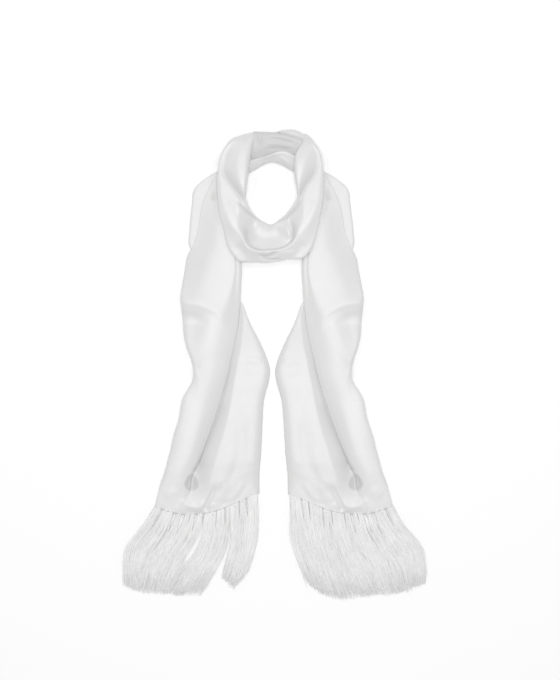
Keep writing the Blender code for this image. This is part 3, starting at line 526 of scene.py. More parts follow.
def tailCloth(name, side, node):
    # the middle surface is a spline at each height, lowered along the hem's curve, plus its
    # creases; each skin lies half a wall from it, along its normals
    heights = np.linspace(tail["rows"][0][0], tail["hemY"], tail["stations"])
    row = tailRow(heights)
    pairs = pleatControls(row)
    topEnd, lowStart = (place / (len(pairs) - 3) for place in tail["meetAt"])
    first, second, third = tail["samples"]
    at = np.concatenate([np.linspace(0.0, topEnd, first, endpoint=False),
                         np.linspace(topEnd, lowStart, second, endpoint=False),
                         np.linspace(lowStart, 1.0, third)])
    section = splineRows(pairs, at)
    distance, z = section[..., 0], section[..., 1]
    share = (row["outer"][:, None] - distance) / (row["outer"] - row["inner"])[:, None]
    ramp = smooth(-heights, -tail["hemStartsY"], -tail["hemY"])[:, None]
    y = heights[:, None] + ramp * hemOffset(share)
    onTop = (1.0 - smooth(at, tail["topFade"] * topEnd, topEnd))[None, :]
    onLow = smooth(at, lowStart, lowStart + tail["lowFade"])[None, :]
    nearHem = smooth(-heights, *tail["hemFade"])[:, None]
    z = z + onTop * creaseRelief(tail["topCreases"], distance, y)
    z = z + onLow * creaseRelief(tail["lowCreases"], distance, y)
    z = z + nearHem * creaseRelief(tail["hemCreases"], distance, y)
    mouth = tail["mouth"]
    inMouth = mouthShare(distance, y)
    z = np.minimum(z, z + (mouth["floorZ"] - z) * smooth(inMouth, *mouth["floorFrom"]))
    z = np.maximum(z, tail["wall"] / 2)
    # painted shade and painted light: along the folds, in the pleat's mouth, and between the knots at
    # the hem
    shade = 1.0 + creaseRelief(tail["shadows"], distance, y)
    shade = shade - mouth["shade"] * smooth(inMouth, *mouth["shadeFrom"])
    toKnot = np.abs(share[..., None] - knotPlaces()).min(-1) * fringe["knots"]
    atEdge = np.exp(-((heights[:, None] - tail["hemY"]) / tail["holeReach"]) ** 2)
    shade = shade - tail["holeShade"] * atEdge * smooth(toKnot, *tail["holeBeside"])
    middle = np.concatenate([swung(distance, y, side), z[..., None]], -1)
    normal = surfaceNormals(middle) * side
    front, under = middle + normal * tail["wall"] / 2, middle - normal * tail["wall"] / 2
    for skin in (front, under):
        skin[..., 2] = np.maximum(skin[..., 2], 0.0)
    rows, cols = middle.shape[:2]
    r, c = np.arange(rows - 1), np.arange(cols - 1)
    rims = ((r * cols, (r + 1) * cols), ((r + 2) * cols - 1, (r + 1) * cols - 1),
            (c + 1, c), ((rows - 1) * cols + c, (rows - 1) * cols + c + 1))
    return twoSkins(name, front, under, gridFaces(rows, cols), rims, gridUv(middle), shade, satin, node)


tailLeft = tailCloth("tailLeftCloth", -1, "tail_left")
tailRight = tailCloth("tailRightCloth", 1, "tail_right")
print("ends made")


# the loop round the front of the neck

loop = dict(
    columns=("innerX", "innerY", "outerX", "outerY", "innerZ", "edgeZ", "rollFrom", "rollTo", "rollZ",
             "valleyAt", "valleyZ", "rimFrom", "rimTo", "rimZ", "flapZ", "outerZ"),
    rows=(
        (-28, 376.2, -35, 376.5, 10, 16, 0.3, 0.5, 20, 0.58, 20, 0.62, 0.7, 20, 17, 11),
        (-29.9, 369, -52.6, 371.9, 10, 22, 0.2, 0.5, 28, 0.6, 28, 0.66, 0.76, 27.5, 24, 11),
        (-32.6, 358.4, -69.4, 364.8, 10, 29, 0.22, 0.55, 33, 0.66, 32, 0.72, 0.82, 31, 27, 11),
        (-35, 345.6, -80.6, 350.4, 10, 30, 0.2, 0.46, 34.5, 0.8, 30, 0.86, 0.93, 30.2, 28, 11),
        (-38.2, 328, -87.8, 331.2, 10, 30, 0.15, 0.44, 35, 0.82, 27, 0.9, 0.95, 27.8, 26, 12),
        (-41.3, 310.4, -91.5, 310.4, 9, 30, 0.08, 0.36, 35, 0.78, 26, 0.87, 0.93, 27.2, 25.5, 13),
        (-43.8, 291.2, -91.8, 289.6, 9, 28, 0.05, 0.22, 34, 0.5, 26.5, 0.6, 0.88, 27.6, 25.5, 13),
        (-45.4, 272, -90.6, 268.8, 9, 25, 0.03, 0.06, 29, 0.18, 26, 0.3, 0.84, 28, 26, 14),
        (-40.6, 257.6, -87.4, 246.4, 9, 23, 0.03, 0.07, 25.5, 0.12, 25, 0.38, 0.78, 28.5, 26, 15),
        (-32.6, 245.6, -81.4, 220.8, 8, 19, 0.04, 0.08, 19.5, 0.12, 20, 0.54, 0.74, 28.5, 24, 15),
        (-23.8, 238.4, -73.4, 192, 8, 13, 0.1, 0.2, 15, 0.36, 18, 0.55, 0.6, 26.5, 22, 15),
        (-15.8, 233.6, -58.2, 172, 8, 13, 0.15, 0.3, 15.5, 0.52, 18.5, 0.63, 0.67, 25, 19, 14),
        (-8.6, 230.4, -32.6, 168.8, 7, 12, 0.18, 0.36, 14.5, 0.64, 17.5, 0.7, 0.735, 24, 18, 9),
        (-4.5, 230, -5.4, 169.3, 7, 12, 0.18, 0.36, 14.5, 0.64, 17.5, 0.7, 0.74, 24, 18, 9),
        (1, 232.8, 20.2, 173.1, 7, 12, 0.18, 0.36, 15, 0.64, 17.5, 0.7, 0.735, 24, 18, 9),
        (9, 238.4, 45.8, 176.3, 8, 13, 0.24, 0.42, 19.5, 0.5, 17.5, 0.575, 0.61, 25, 19, 14),
        (17, 244.8, 61, 193.6, 8, 15, 0.1, 0.18, 18.5, 0.25, 19.5, 0.47, 0.58, 27.5, 22, 15),
        (25.8, 255.2, 70.6, 227.2, 8, 21, 0.05, 0.1, 22, 0.14, 22.5, 0.46, 0.72, 28.5, 24, 15),
        (32.2, 264.8, 75.4, 251.2, 9, 23, 0.03, 0.07, 25.5, 0.12, 25, 0.36, 0.76, 28.5, 26, 15),
        (36.6, 274.4, 77.8, 272, 9, 25, 0.03, 0.06, 29, 0.16, 26, 0.27, 0.82, 28, 26, 14),
        (34.6, 291.2, 79.4, 292.8, 9, 28, 0.05, 0.13, 33, 0.37, 26.5, 0.46, 0.86, 27.6, 25.5, 13),
        (31.4, 308.8, 78.9, 312, 9, 28, 0.07, 0.29, 34.5, 0.7, 26, 0.79, 0.91, 27.2, 25.5, 13),
        (30.6, 326.4, 76.6, 331.2, 10, 30, 0.1, 0.42, 35, 0.82, 27, 0.9, 0.95, 27.8, 26, 12),
        (32.2, 340.8, 72.2, 347.2, 10, 30, 0.18, 0.5, 34, 0.82, 30, 0.87, 0.93, 30.2, 28, 11),
        (37.8, 351.2, 65.8, 358.4, 10, 29, 0.22, 0.55, 32.5, 0.68, 31.5, 0.74, 0.84, 30.5, 27, 11),
        (42.6, 360, 58.6, 368, 10, 22, 0.22, 0.5, 28, 0.6, 28, 0.66, 0.76, 27, 24, 11),
        (44.9, 371.2, 50.6, 374.4, 10, 16, 0.3, 0.5, 20, 0.58, 20, 0.62, 0.7, 20, 17, 11),
    ),
    stations=280, crownPoints=96, wall=0.9,
    # shares of the width between which the creases set in and end, and the wall's dents and
    # painted light set in; and how many points follow each corner of the underside
    creasesFrom=(0.02, 0.12), creasesTo=(0.93, 0.99), dentsFrom=(0.90, 0.99), lightFrom=(0.96, 1.0),
    underCounts=(2, 7, 3, 7, 4),
    settlesTo=10.0, settles=0.80,           # the satin lies lower than the table's full height
    underZ=9.5, underLowZ=11.8, underRises=(275.0, 240.0), underPast=14.0,
    tuck=2.4, tailTopY=326.0, footClear=(3.3, 1.3),
    creases=(
        (-1.8, 1.8, 2.4, 0.25, 0.2, ((-61.5, 269), (-47, 253), (-36, 243), (-20, 234))),
        (-1.8, 2.4, 1.8, 0.25, 0.2, ((44, 272), (34.5, 256), (22, 243), (7.5, 234))),
        (-0.5, 3, 5, 0.4, 0.4, ((-80, 287), (-70, 270), (-62, 252), (-56, 234))),
        (-0.4, 5, 3, 0.4, 0.4, ((70, 288), (60, 268), (52, 250), (46, 234))),
        (-1, 7, 8, 0.35, 0.3, ((-64, 200), (-52, 188), (-40, 177))),
        (-0.9, 8, 7, 0.35, 0.3, ((50, 204), (40, 190), (31, 178))),
        (-2.4, 2.4, 3, 0.25, 0.2, ((-28, 181.5), (-15, 179), (-7, 180), (6, 187))),
        (-1.9, 2.2, 2.4, 0.25, 0.2, ((-20, 177.5), (-7, 173), (14, 174.5))),
        (0.8, 4, 4, 0.25, 0.25, ((4, 180), (20, 183), (38, 185))),
        (0.5, 3.5, 3, 0.4, 0.4, ((13, 228), (21, 220), (24, 208), (20, 198))),
    ),
    wallLight=0.14,                         # painted light on the outer wall, for the light it gets from the floor
    # shallow dents down the outer wall: share of the way round, depth and width
    wallDents=((0.05, 0.7, 0.010), (0.11, 0.5, 0.016), (0.19, 0.9, 0.012), (0.26, 0.4, 0.020),
               (0.34, 0.8, 0.014), (0.41, 1, 0.009), (0.47, 0.6, 0.007), (0.54, 0.9, 0.01),
               (0.6, 0.5, 0.016), (0.68, 0.8, 0.011), (0.77, 0.6, 0.018), (0.85, 0.9, 0.01),
               (0.93, 0.5, 0.014)),
    # painted shade where the folds shade the loop, as lines like the creases
    shadows=(
        (-0.09, 8, 6, 0.4, 0.2, ((-80, 325), (-76, 312), (-66, 294), (-54, 277), (-45, 265))),
        (-0.09, 6, 8, 0.4, 0.2, ((68, 330), (62, 314), (54, 298), (43, 283), (37, 272))),
        (-0.12, 1.6, 1.6, 0.25, 0.2, ((-60, 268), (-47, 252.5), (-36, 242.5), (-20, 233.5))),
        (-0.12, 1.6, 1.6, 0.25, 0.2, ((43, 271), (34.5, 255.5), (22, 242.5), (7.5, 233.5))),
        (-0.05, 8, 20, 0.2, 0.2, ((-46, 232), (-48, 215), (-44, 200), (-32, 190), (-18, 186))),
        (-0.07, 9, 9, 0.3, 0.3, ((-42, 226), (-38, 212), (-32, 198))),
        (-0.08, 5, 5, 0.2, 0.3, ((20, 236), (30, 226), (31, 212), (24, 198))),
        (-0.12, 2, 2.6, 0.25, 0.2, ((-28, 181), (-15, 178.5), (-7, 179.5), (6, 186))),
        (-0.1, 2, 2, 0.25, 0.2, ((-20, 177), (-7, 172.5), (14, 174))),
    ),
)


def footLimit(side, x, y):
    # how far a point lies beyond the line at which the loop clears the end's inner side
    heights = np.linspace(loop["tailTopY"], 100.0, 40)
    row = tailRow(heights)
    reach = np.minimum(row["nose"] - loop["footClear"][0], row["inner"] - loop["footClear"][1])
    edge = swung(reach, heights, side)
    order = np.argsort(edge[:, 1])
    return np.abs(x - axisX) - np.interp(y, edge[order, 1], np.abs(edge[order, 0] - axisX))


def tubeCloth(name, rings, wall, node, material, shade):
    # a thin wall inward from closed rings, along their normals, with both ends joined
    stations, around = rings.shape[:2]
    normal = surfaceNormals(rings, closed=True)
    if np.einsum("rsx,rsx->", normal, rings - rings.mean(1, keepdims=True)) < 0:
        normal = -normal
    c = np.arange(around)
    n = (c + 1) % around
    last = (stations - 1) * around
    return twoSkins(name, rings, rings - normal * wall, gridFaces(stations, around, closed=True),
                    ((n, c), (last + c, last + n)), gridUv(rings), shade, material, node)


def creased(rings, piece, creases, shades):
    # creases raise the crown alone and fade at its two edges; the painted shade is returned
    count = piece["crownPoints"]
    edge = np.linspace(0.0, 1.0, count)
    mask = smooth(edge, *piece["creasesFrom"]) * (1.0 - smooth(edge, *piece["creasesTo"]))
    top = rings[:, :count]
    top[..., 2] += mask * creaseRelief(creases, top[..., 0], top[..., 1])
    return 1.0 + creaseRelief(shades, rings[..., 0], rings[..., 1])


def refined(polyline, counts):
    # the corners in turn, each with evenly spaced points toward the next
    ends = zip(polyline[:-1], polyline[1:], counts)
    return np.concatenate([np.linspace(a, b, count, endpoint=False) for a, b, count in ends])


def loopCloth():
    # at each station a spline crown stands on a flat underside, which steps up where it lies
    # on an end; in plan, a section goes straight from the inner edge to the outer one
    share, row = stationRows(loop, loop["rows"])
    for name in ("edgeZ", "rollZ", "valleyZ", "rimZ", "flapZ"):
        row[name] = loop["settlesTo"] + loop["settles"] * (row[name] - loop["settlesTo"])
    (innerX, innerY, outerX, outerY, innerZ, edgeZ, rollFrom, rollTo, rollZ, valleyAt, valleyZ,
     rimFrom, rimTo, rimZ, flapZ, outerZ) = (row[name] for name in loop["columns"])
    zero = 0 * share
    crown = splineRows((
        (zero, innerZ),
        (zero + 0.008, edgeZ - 1.0),
        (0.35 * rollFrom, edgeZ + 0.45 * (rollZ - edgeZ)),
        (rollFrom, rollZ),
        (0.5 * (rollFrom + rollTo), rollZ),
        (rollTo, rollZ),
        (0.5 * (rollTo + valleyAt), 0.5 * (rollZ + valleyZ)),
        (valleyAt - 0.01, valleyZ),
        (0.8 * valleyAt + 0.2 * rimFrom, 0.9 * valleyZ + 0.1 * rimZ),
        (0.3 * valleyAt + 0.7 * rimFrom, 0.25 * valleyZ + 0.75 * rimZ),
        (rimFrom, rimZ),
        (0.5 * (rimFrom + rimTo), rimZ),
        (rimTo, rimZ),
        (0.6 * rimTo + 0.4, 0.45 * rimZ + 0.55 * flapZ),
        (0.25 * rimTo + 0.75, flapZ),
        (zero + 0.985, flapZ - 0.4),
        (zero + 0.998, 0.5 * (flapZ + outerZ)),
        (zero + 1.0, outerZ),
    ), np.linspace(0.0, 1.0, loop["crownPoints"]))
    inner, outer = np.stack([innerX, innerY], -1), np.stack([outerX, outerY], -1)
    dents = sum(depth * np.exp(-((share - place) / wide) ** 2)
                for place, depth, wide in loop["wallDents"])
    fine = np.linspace(0.0, 1.0, 201)
    rings, shares = [], []
    for i in range(loop["stations"]):
        width = np.linalg.norm(outer[i] - inner[i])
        tuck = 1.0 - min(loop["tuck"] / width, 0.3)
        under = [(tuck, 0.0), (0.5 * tuck + 0.15, 0.0), (0.35, 0.0), (0.06, 0.0)]
        line = inner[i] + (outer[i] - inner[i]) * fine[:, None]
        side = -1 if outer[i][0] < axisX else 1
        past = footLimit(side, line[:, 0], line[:, 1]) > 0
        over = past & (line[:, 1] < loop["tailTopY"] + loop["underPast"])
        if over.any():
            step = fine[np.argmax(over)]
            lowness = smooth(-line[-1, 1], -loop["underRises"][0], -loop["underRises"][1])
            z = loop["underZ"] + (loop["underLowZ"] - loop["underZ"]) * lowness
            lift = min(step + 0.5 / width, 0.97)
            under = [(max(tuck, lift), z), (lift, z), (step, 0.0), (min(0.06, 0.5 * step), 0.0)]
        below = refined([tuple(crown[i, -1])] + under + [tuple(crown[i, 0])], loop["underCounts"])[1:]
        section = np.concatenate([crown[i], below])
        shares.append(section[:, 0].copy())
        section[:, 0] -= dents[i] / width * smooth(section[:, 0], *loop["dentsFrom"])
        plan = inner[i] + (outer[i] - inner[i]) * section[:, :1]
        rings.append(np.concatenate([plan, section[:, 1:]], 1))
    rings = np.array(rings)
    shade = creased(rings, loop, loop["creases"], loop["shadows"])
    # painted light up the outer wall
    shade += loop["wallLight"] * smooth(np.array(shares), *loop["lightFrom"])
    return tubeCloth("loopCloth", rings, loop["wall"], "front_loop", satin, shade)


loopPiece = loopCloth()
print("loop made")


# the stretches behind the neck

backs = dict(
    columns=("outerX", "outerY", "innerX", "innerY", "edgeZ", "crestAt", "crestZ", "middleZ", "footZ"),
    stations=90, crownPoints=56, wall=0.9,
    creasesFrom=(0.0, 0.10), creasesTo=(0.92, 1.0), underCounts=(4, 10, 4),
    upper=(
        (-36, 374, -43, 333, 11, 0.18, 16, 15, 11),
        (-33, 378, -41, 333.3, 12, 0.18, 24, 20, 13),
        (-20, 377.8, -27, 334.6, 12, 0.17, 26, 20, 13),
        (-7, 377.2, -14, 338, 12, 0.17, 26, 20, 13),
        (8, 376.8, 1, 343, 12, 0.2, 26, 20, 13),
        (24, 374.5, 16, 345.5, 12, 0.26, 25, 20, 13),
        (40, 370, 30, 341.5, 12, 0.3, 24, 19, 13),
        (50, 364, 38, 336.5, 11, 0.3, 23, 18, 12),
    ),
    lower=(
        (-42.5, 333, -46, 309, 12, 0.2, 19, 14, 6),
        (-23, 337, -27.8, 319.2, 12, 0.2, 18, 13, 6),
        (-8.6, 341, -15, 326.4, 12, 0.2, 18, 13, 6),
        (7.4, 347, -2.2, 329.6, 12, 0.18, 18, 12, 6),
        (20.2, 346.5, 13.8, 324, 12, 0.16, 18, 12, 6),
        (34.6, 340.3, 33.4, 312.4, 12, 0.16, 18, 13, 6),
    ),
    outer=(
        (5, 378.6, 5.6, 375.4, 10, 0.45, 21, 21, 17),
        (13.8, 380.5, 14.4, 372, 11, 0.4, 25, 25, 21),
        (25, 381.4, 24.8, 368.9, 12, 0.38, 27, 27, 23),
        (36.2, 380, 34.4, 365.6, 12, 0.36, 27, 27, 22),
        (48, 373.9, 47, 361.8, 10, 0.38, 23, 23, 18),
        (50.6, 371.8, 49.6, 363, 9, 0.38, 16, 16, 12),
    ),
    creases=dict(
        upper=(
            (2.4, 2, 4, 0.3, 0.6, ((-24.5, 378), (-22, 367), (-21, 352))),
            (-1.2, 3, 3.5, 0.3, 0.3, ((-14, 368), (10, 363), (34, 358))),
            (0.9, 3, 3, 0.3, 0.3, ((-16, 358), (8, 357), (32, 352))),
            (-1.1, 2, 2.5, 0.3, 0.2, ((-20, 348), (4, 351), (30, 348))),
        ),
        lower=(
            (1, 2, 3, 0.2, 0.2, ((-16.6, 335), (-4, 340.5), (12, 342))),
            (-0.7, 3, 3, 0.2, 0.2, ((-30, 328), (-12, 333), (6, 336))),
            (0.7, 2.5, 2.5, 0.2, 0.2, ((4, 340), (14, 334), (22, 326))),
        ),
        outer=(
            (0.8, 2, 2, 0.2, 0.2, ((14, 377), (26, 376.5), (38, 374))),
        ),
    ),
    # painted light and painted shade, as lines like the creases
    shades=dict(
        upper=((-0.03, 3.0, 5.0, 0.10, 0.50, ((-30, 346), (-16, 349), (0, 352), (16, 352))),
               (0.07, 2, 3, 0.2, 0.6, ((-24, 374), (-22, 366), (-20, 354)))),
        lower=((0.13, 1.6, 2.0, 0.25, 0.15, ((-15, 335), (-4, 341), (10, 345), (26, 341))),
               (0.14, 15, 15, 0.02, 0.02, ((-42, 322), (-15, 331), (10, 338), (34, 328)))),
        outer=(),
    ),
)


def backCloth(name, key, node, material):
    # at each station a spline crown from the outer edge to the inner one, on a flat underside
    share, row = stationRows(backs, backs[key])
    outerX, outerY, innerX, innerY, edgeZ, crest, crestZ, middleZ, footZ = (
        row[column] for column in backs["columns"])
    zero = 0 * share
    crown = splineRows((
        (zero, edgeZ),
        (0.15 * crest, edgeZ + 0.7 * (crestZ - edgeZ)),
        (crest, crestZ),
        (0.5 * crest + 0.3, 0.45 * crestZ + 0.55 * middleZ),
        (zero + 0.8, middleZ),
        (zero + 1.0, footZ),
    ), np.linspace(0.0, 1.0, backs["crownPoints"]))
    outer, inner = np.stack([outerX, outerY], -1), np.stack([innerX, innerY], -1)
    rings = []
    for i in range(backs["stations"]):
        corners = [tuple(crown[i, -1]), (0.96, 0.0), (0.1, 0.0), tuple(crown[i, 0])]
        section = np.concatenate([crown[i], refined(corners, backs["underCounts"])[1:]])
        plan = outer[i] + (inner[i] - outer[i]) * section[:, :1]
        rings.append(np.concatenate([plan, section[:, 1:]], 1))
    rings = np.array(rings)
    shade = creased(rings, backs, backs["creases"][key], backs["shades"][key])
    return tubeCloth(name, rings, backs["wall"], node, material, shade)


# the stretches behind the neck take the reverse satin, whose lowered colour is painted shade
backUpper = backCloth("backUpperCloth", "upper", "back_upper", satinReverseShaded)
backLower = backCloth("backLowerCloth", "lower", "back_lower", satinReverseShaded)
backOuter = backCloth("backOuterCloth", "outer", "back_outer", satin)
print("back made")


# the threads and knots of the fringe

def threadMesh(name, node, paths, radius, shade, sides, flatness, roll):
    # flattened tubes with a few sides round many paths at once: each ring is the path's point
    # plus its radius times a rolled ellipse; paths is threads x rings x 3
    heading = np.gradient(paths, axis=1)
    heading /= np.linalg.norm(heading, axis=2, keepdims=True)
    sideways = np.cross(heading, np.array([0.0, 0.0, 1.0]))
    sideways /= np.maximum(np.linalg.norm(sideways, axis=2, keepdims=True), 1e-6)
    upward = np.cross(sideways, heading)
    turn = np.arange(sides) * 2 * math.pi / sides + math.pi / 2
    over, up = np.cos(turn)[None, :], flatness * np.sin(turn)[None, :]
    across = over * np.cos(roll)[:, None] - up * np.sin(roll)[:, None]
    above = over * np.sin(roll)[:, None] + up * np.cos(roll)[:, None]
    ring = across[:, None, :, None] * sideways[:, :, None] + above[:, None, :, None] * upward[:, :, None]
    points = paths[:, :, None] + radius[:, :, None, None] * ring
    threads, rings = paths.shape[:2]
    points[..., 2] = np.maximum(points[..., 2], 0.05)
    first = (np.arange(threads) * rings * sides)[:, None, None]
    level = first + (np.arange(rings - 1) * sides)[None, :, None]
    corner = np.arange(sides)[None, None, :]
    here, beside = level + corner, level + (corner + 1) % sides
    quads = np.stack([here, beside, beside + sides, here + sides], -1).reshape(-1, 4)
    start = first[:, 0, 0]
    end = start + (rings - 1) * sides
    caps = []
    for k in range(1, sides - 1):
        none = np.full(threads, -1)
        caps.append(np.stack([start, start + k + 1, start + k, none], -1))
        caps.append(np.stack([end, end + k, end + k + 1, none], -1))
    along = np.linspace(0.0, fringe["uvLength"], rings)[None, :, None] * np.ones((threads, 1, sides))
    beside = corner + fringe["uvStep"] * np.arange(threads)[:, None, None] + np.zeros((1, rings, 1))
    uv = np.stack([beside, along], -1).reshape(-1, 2)
    spread = (shade[:, :, None] * np.ones(sides)).ravel()
    faces = np.concatenate([quads] + caps)
    piece = closedMesh(name, points.reshape(-1, 3), faces, uv, fringeSilk, spread)
    piece.data.shade_flat()
    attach(piece, "root")
    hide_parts(node)
    return piece


def hemPlace(across, side):
    # where the hem is, for any place across it
    bottom = tailRow(np.array([tail["hemY"]]))
    outer, inner = bottom["outer"][0], bottom["inner"][0]
    distance = outer + (inner - outer) * across
    return swung(distance, tail["hemY"] + hemOffset(across), side)


def fringeThreads(name, side, layer, node, seed):
    # each thread starts beside its knot and falls along the curves of the guides to both sides
    # of it, blended by its place, with its own length, waves and height
    random = np.random.default_rng(seed)
    guides = tableColumns(fringe["guideColumns"], fringe["guides"][side])
    knots, perKnot, rings = fringe["knots"], fringe["threads"], fringe["rings"]
    threads = knots * perKnot
    t = np.linspace(0.0, 1.0, rings) ** fringe["crowding"]
    knot = np.repeat(knotPlaces(), perKnot)[:, None]
    offset = random.uniform(-0.5, 0.5, (threads, 1))
    rootSpread = np.repeat(fringe["rootSpreads"][layer], perKnot)[:, None]
    spread = rootSpread + (fringe["spreadTo"] - rootSpread) * smooth(t, *fringe["spreads"])[None, :]
    across = knot + offset / knots * spread
    across = across + random.normal(0.0, fringe["scatter"], (threads, 1)) * smooth(t, 0.1, 1.0)[None, :]
    if fringe["split"][side]:
        low, high = fringe["split"][side]
        left = knot + offset / knots < 0.5 * (low + high)
        parted = np.where(left, np.minimum(across, low), np.maximum(across, high))
        across = across + (parted - across) * smooth(t, *fringe["splitOpens"])[None, :]
    for place, half, opens, closes in fringe["slits"][side]:
        away = across[:, :1] - place
        middle = 0.5 * (opens + closes)
        window = smooth(t, opens, middle) * (1.0 - smooth(t, middle, closes))
        push = np.sign(away) * np.exp(-np.abs(away) / fringe["slitReach"])
        across = across + half * push * window[None, :]
    root = hemPlace(np.clip(across, -0.01, 1.01), side)
    tufts = random.uniform(0.0, fringe["tuftShorter"], threads // fringe["perTuft"])
    tuft = np.repeat(tufts, fringe["perTuft"])[:, None]
    length = 1.0 - tuft - fringe["threadShorter"] * random.uniform(0.0, 1.0, (threads, 1)) ** 2
    down = t[None, :] * length
    quarters = np.linspace(0.0, 1.0, 5)
    drift = np.zeros_like(across)
    for k, guide in enumerate(np.eye(len(guides["across"]))):
        # each guide strand has its say by how near it is across the hem
        known = np.array([0.0] + [guides[key][k] for key in fringe["guideColumns"][1:5]])
        curve = through(down.ravel(), quarters, known).reshape(down.shape)
        drift = drift + curve * np.interp(across, guides["across"], guide)
    fall = np.interp(across, guides["across"], guides["fall"]) * down
    wave = random.uniform(0.0, 2 * math.pi, (threads, 2))
    sway = sum(np.sin(wave[:, k:k + 1] + speed * t) * random.normal(0.0, reach, (threads, 1))
               for k, (speed, reach) in enumerate(fringe["sways"]))
    strays = random.uniform(0, 1, (threads, 1)) < fringe["strays"]
    stray = strays * random.normal(0.0, fringe["strayReach"], (threads, 1)) * t**2
    x = root[..., 0] + side * (drift + sway * smooth(t, *fringe["swayFrom"]) + stray)
    y = root[..., 1] + fringe["aboveHem"] - fall
    level = fringe["lowestZ"] + fringe["layerZ"] * layer
    level = level + random.uniform(0.0, fringe["looseZ"], (threads, 1))
    hump = fringe["humpZ"] * layer * np.exp(-((t - fringe["humpAt"]) / fringe["humpWide"]) ** 2)
    rootZ = fringe["rootZ"][layer]
    speed, rise = fringe["ripple"]
    z = rootZ + (level + hump - rootZ) * smooth(t, 0.0, fringe["rootReach"])
    z = z + rise * np.sin(wave[:, 1:] + speed * t)
    paths = np.stack([x, y, np.maximum(z, 0.5) + 0 * x], -1)
    thinning = 1.0 - fringe["thinner"] * smooth(t, fringe["thinnerFrom"], 1.0)
    radius = fringe["radius"] * thinning[None, :] * np.ones((threads, 1))
    # painted shade toward the tips of some threads, on a brightness that differs at random from thread
    # to thread
    tipShading = fringe["tipShade"] * random.uniform(0.0, 1.0, (threads, 1)) ** 2
    tipShading = tipShading * smooth(t, fringe["tipShadeFrom"], 1.0)[None, :]
    toneAndShade = random.uniform(fringe["toneFrom"], 1.0, (threads, 1)) * (1.0 - tipShading)
    roll = random.uniform(-fringe["roll"], fringe["roll"], threads)
    return threadMesh(name, node, paths, radius, toneAndShade, 3, fringe["flatness"], roll)


knotForm = dict(
    rings=11, sides=6, radius=0.80,
    # the loop through the hem, and the wrap round the bundle: half width, where it starts below
    # the hem, its height there, and how much it rises
    loopWide=2.4, loopBelow=3.6, loopZ=4.2, loopRise=1.9, loopLong=(6.8, 0.8), lean=0.4,
    wrapWide=2.6, wrapBelow=3.0, wrapZ=3.0, wrapRise=2.4,
)


def fringeKnots(name, side, node):
    # each bundle hangs in a small loop drawn through the hem, which rises and falls as half a
    # sine wave, and a wrap of the same form lies across it
    place = hemPlace(knotPlaces(), side)
    t = np.linspace(0.0, 1.0, knotForm["rings"])
    lift = np.sin(math.pi * t)
    paths = []
    for k, (hemX, hemY) in enumerate(place):
        long, uneven = knotForm["loopLong"]
        wide = knotForm["loopWide"] * (2 * t - 1) * (0.6 + 0.4 * lift)
        x = hemX + wide + knotForm["lean"] * math.sin(2.3 * k)
        y = hemY - knotForm["loopBelow"] + (long + uneven * math.sin(4.1 * k)) * lift
        paths.append(np.stack([x, y, knotForm["loopZ"] + knotForm["loopRise"] * lift], -1))
        x, y = hemX + knotForm["wrapWide"] * (2 * t - 1), hemY - knotForm["wrapBelow"] + 0 * t
        paths.append(np.stack([x, y, knotForm["wrapZ"] + knotForm["wrapRise"] * lift], -1))
    paths = np.array(paths)
    shape = paths.shape[:2]
    return threadMesh(name, node, paths, np.full(shape, knotForm["radius"]), np.ones(shape),
                      knotForm["sides"], 1.0, np.zeros(len(paths)))


leftFringe = [fringeThreads("fringeLeftLower", -1, 0, "fringe_left", 11),
              fringeThreads("fringeLeftUpper", -1, 1, "fringe_left", 12),
              fringeKnots("fringeLeftKnots", -1, "fringe_left")]
rightFringe = [fringeThreads("fringeRightLower", 1, 0, "fringe_right", 21),
               fringeThreads("fringeRightUpper", 1, 1, "fringe_right", 22),
               fringeKnots("fringeRightKnots", 1, "fringe_right")]
print("fringe made")


# floor, light and camera

def floorMaterial():
    # a dull near white that gives off a little light of its own
    material = bpy.data.materials.new("paleFloor")
    tree, shader = shaderOf(material)
    shader.inputs["Base Color"].default_value = (0.93, 0.93, 0.93, 1.0)
    shader.inputs["Roughness"].default_value = 0.95
    shader.inputs["Specular IOR Level"].default_value = 0.1
    shader.inputs["Emission Color"].default_value = (1.0, 1.0, 1.0, 1.0)
    shader.inputs["Emission Strength"].default_value = 0.12
    return material


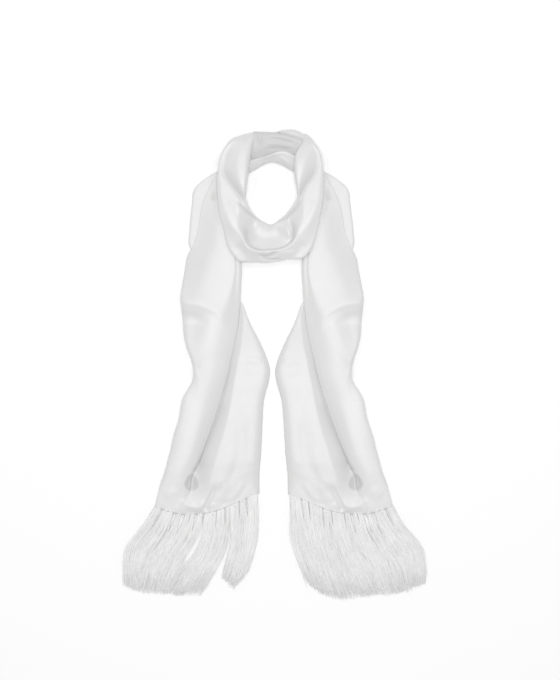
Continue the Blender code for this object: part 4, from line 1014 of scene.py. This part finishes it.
def addFloor():
    # one square, just below the surface that the scarf lies on
    half, level = 4.0, -0.0004
    corners = [(-half, -half, level), (half, -half, level), (half, half, level), (-half, half, level)]
    mesh = bpy.data.meshes.new("floor")
    mesh.from_pydata(corners, [], [(0, 1, 2, 3)])
    mesh.materials.append(floorMaterial())
    floor = bpy.data.objects.new("floor", mesh)
    bpy.context.scene.collection.objects.link(floor)
    return floor


def addAreaLight(name, place, aim, size, power):
    # a square lamp, tilted from straight down by the angle between that and the way to its aim
    data = bpy.data.lights.new(name, "AREA")
    data.shape = "SQUARE"
    data.size = size
    data.energy = power
    lamp = bpy.data.objects.new(name, data)
    lamp.location = place
    toward = np.array(aim, float) - np.array(place, float)
    flat = math.hypot(toward[0], toward[1])
    heading = math.atan2(toward[1], toward[0]) - math.pi / 2
    lamp.rotation_euler = (math.atan2(flat, -toward[2]), 0.0, heading)
    lamp.visible_camera = False
    bpy.context.scene.collection.objects.link(lamp)


studio = dict(
    # each lamp's place, what it aims at, its side in metres and its power in watts
    lamps=dict(
        topLight=((0.009, 0.042, 3.3), (0.009, 0.042, 0.0), 1.3, 42.0),
        leftLight=((-1.5, 1.6, 2.2), (0.0, 0.0, 0.0), 0.6, 8.0),
        rightLight=((1.5, 1.4, 2.2), (0.0, 0.0, 0.0), 0.6, 6.5),
    ),
    dome=0.48,
    cameraPlace=(0.009, 0.042, 2.58), lens=85.0, sensor=36.0,
)
floor = addFloor()
for name, lamp in studio["lamps"].items():
    addAreaLight(name, *lamp)
world = bpy.data.worlds.new("studio")
bpy.context.scene.world = world
world.use_nodes = True
sky = world.node_tree.nodes["Background"]
sky.inputs["Color"].default_value = (1.0, 1.0, 1.0, 1.0)
sky.inputs["Strength"].default_value = studio["dome"]

cameraData = bpy.data.cameras.new("camera")
cameraData.sensor_width = studio["sensor"]
cameraData.lens = studio["lens"]
camera = bpy.data.objects.new("camera", cameraData)
camera.location = studio["cameraPlace"]
camera.rotation_euler = (0.0, 0.0, 0.0)      # straight down
bpy.context.scene.collection.objects.link(camera)
bpy.context.scene.camera = camera
bpy.context.scene.view_settings.view_transform = "Standard"
print("stage made")
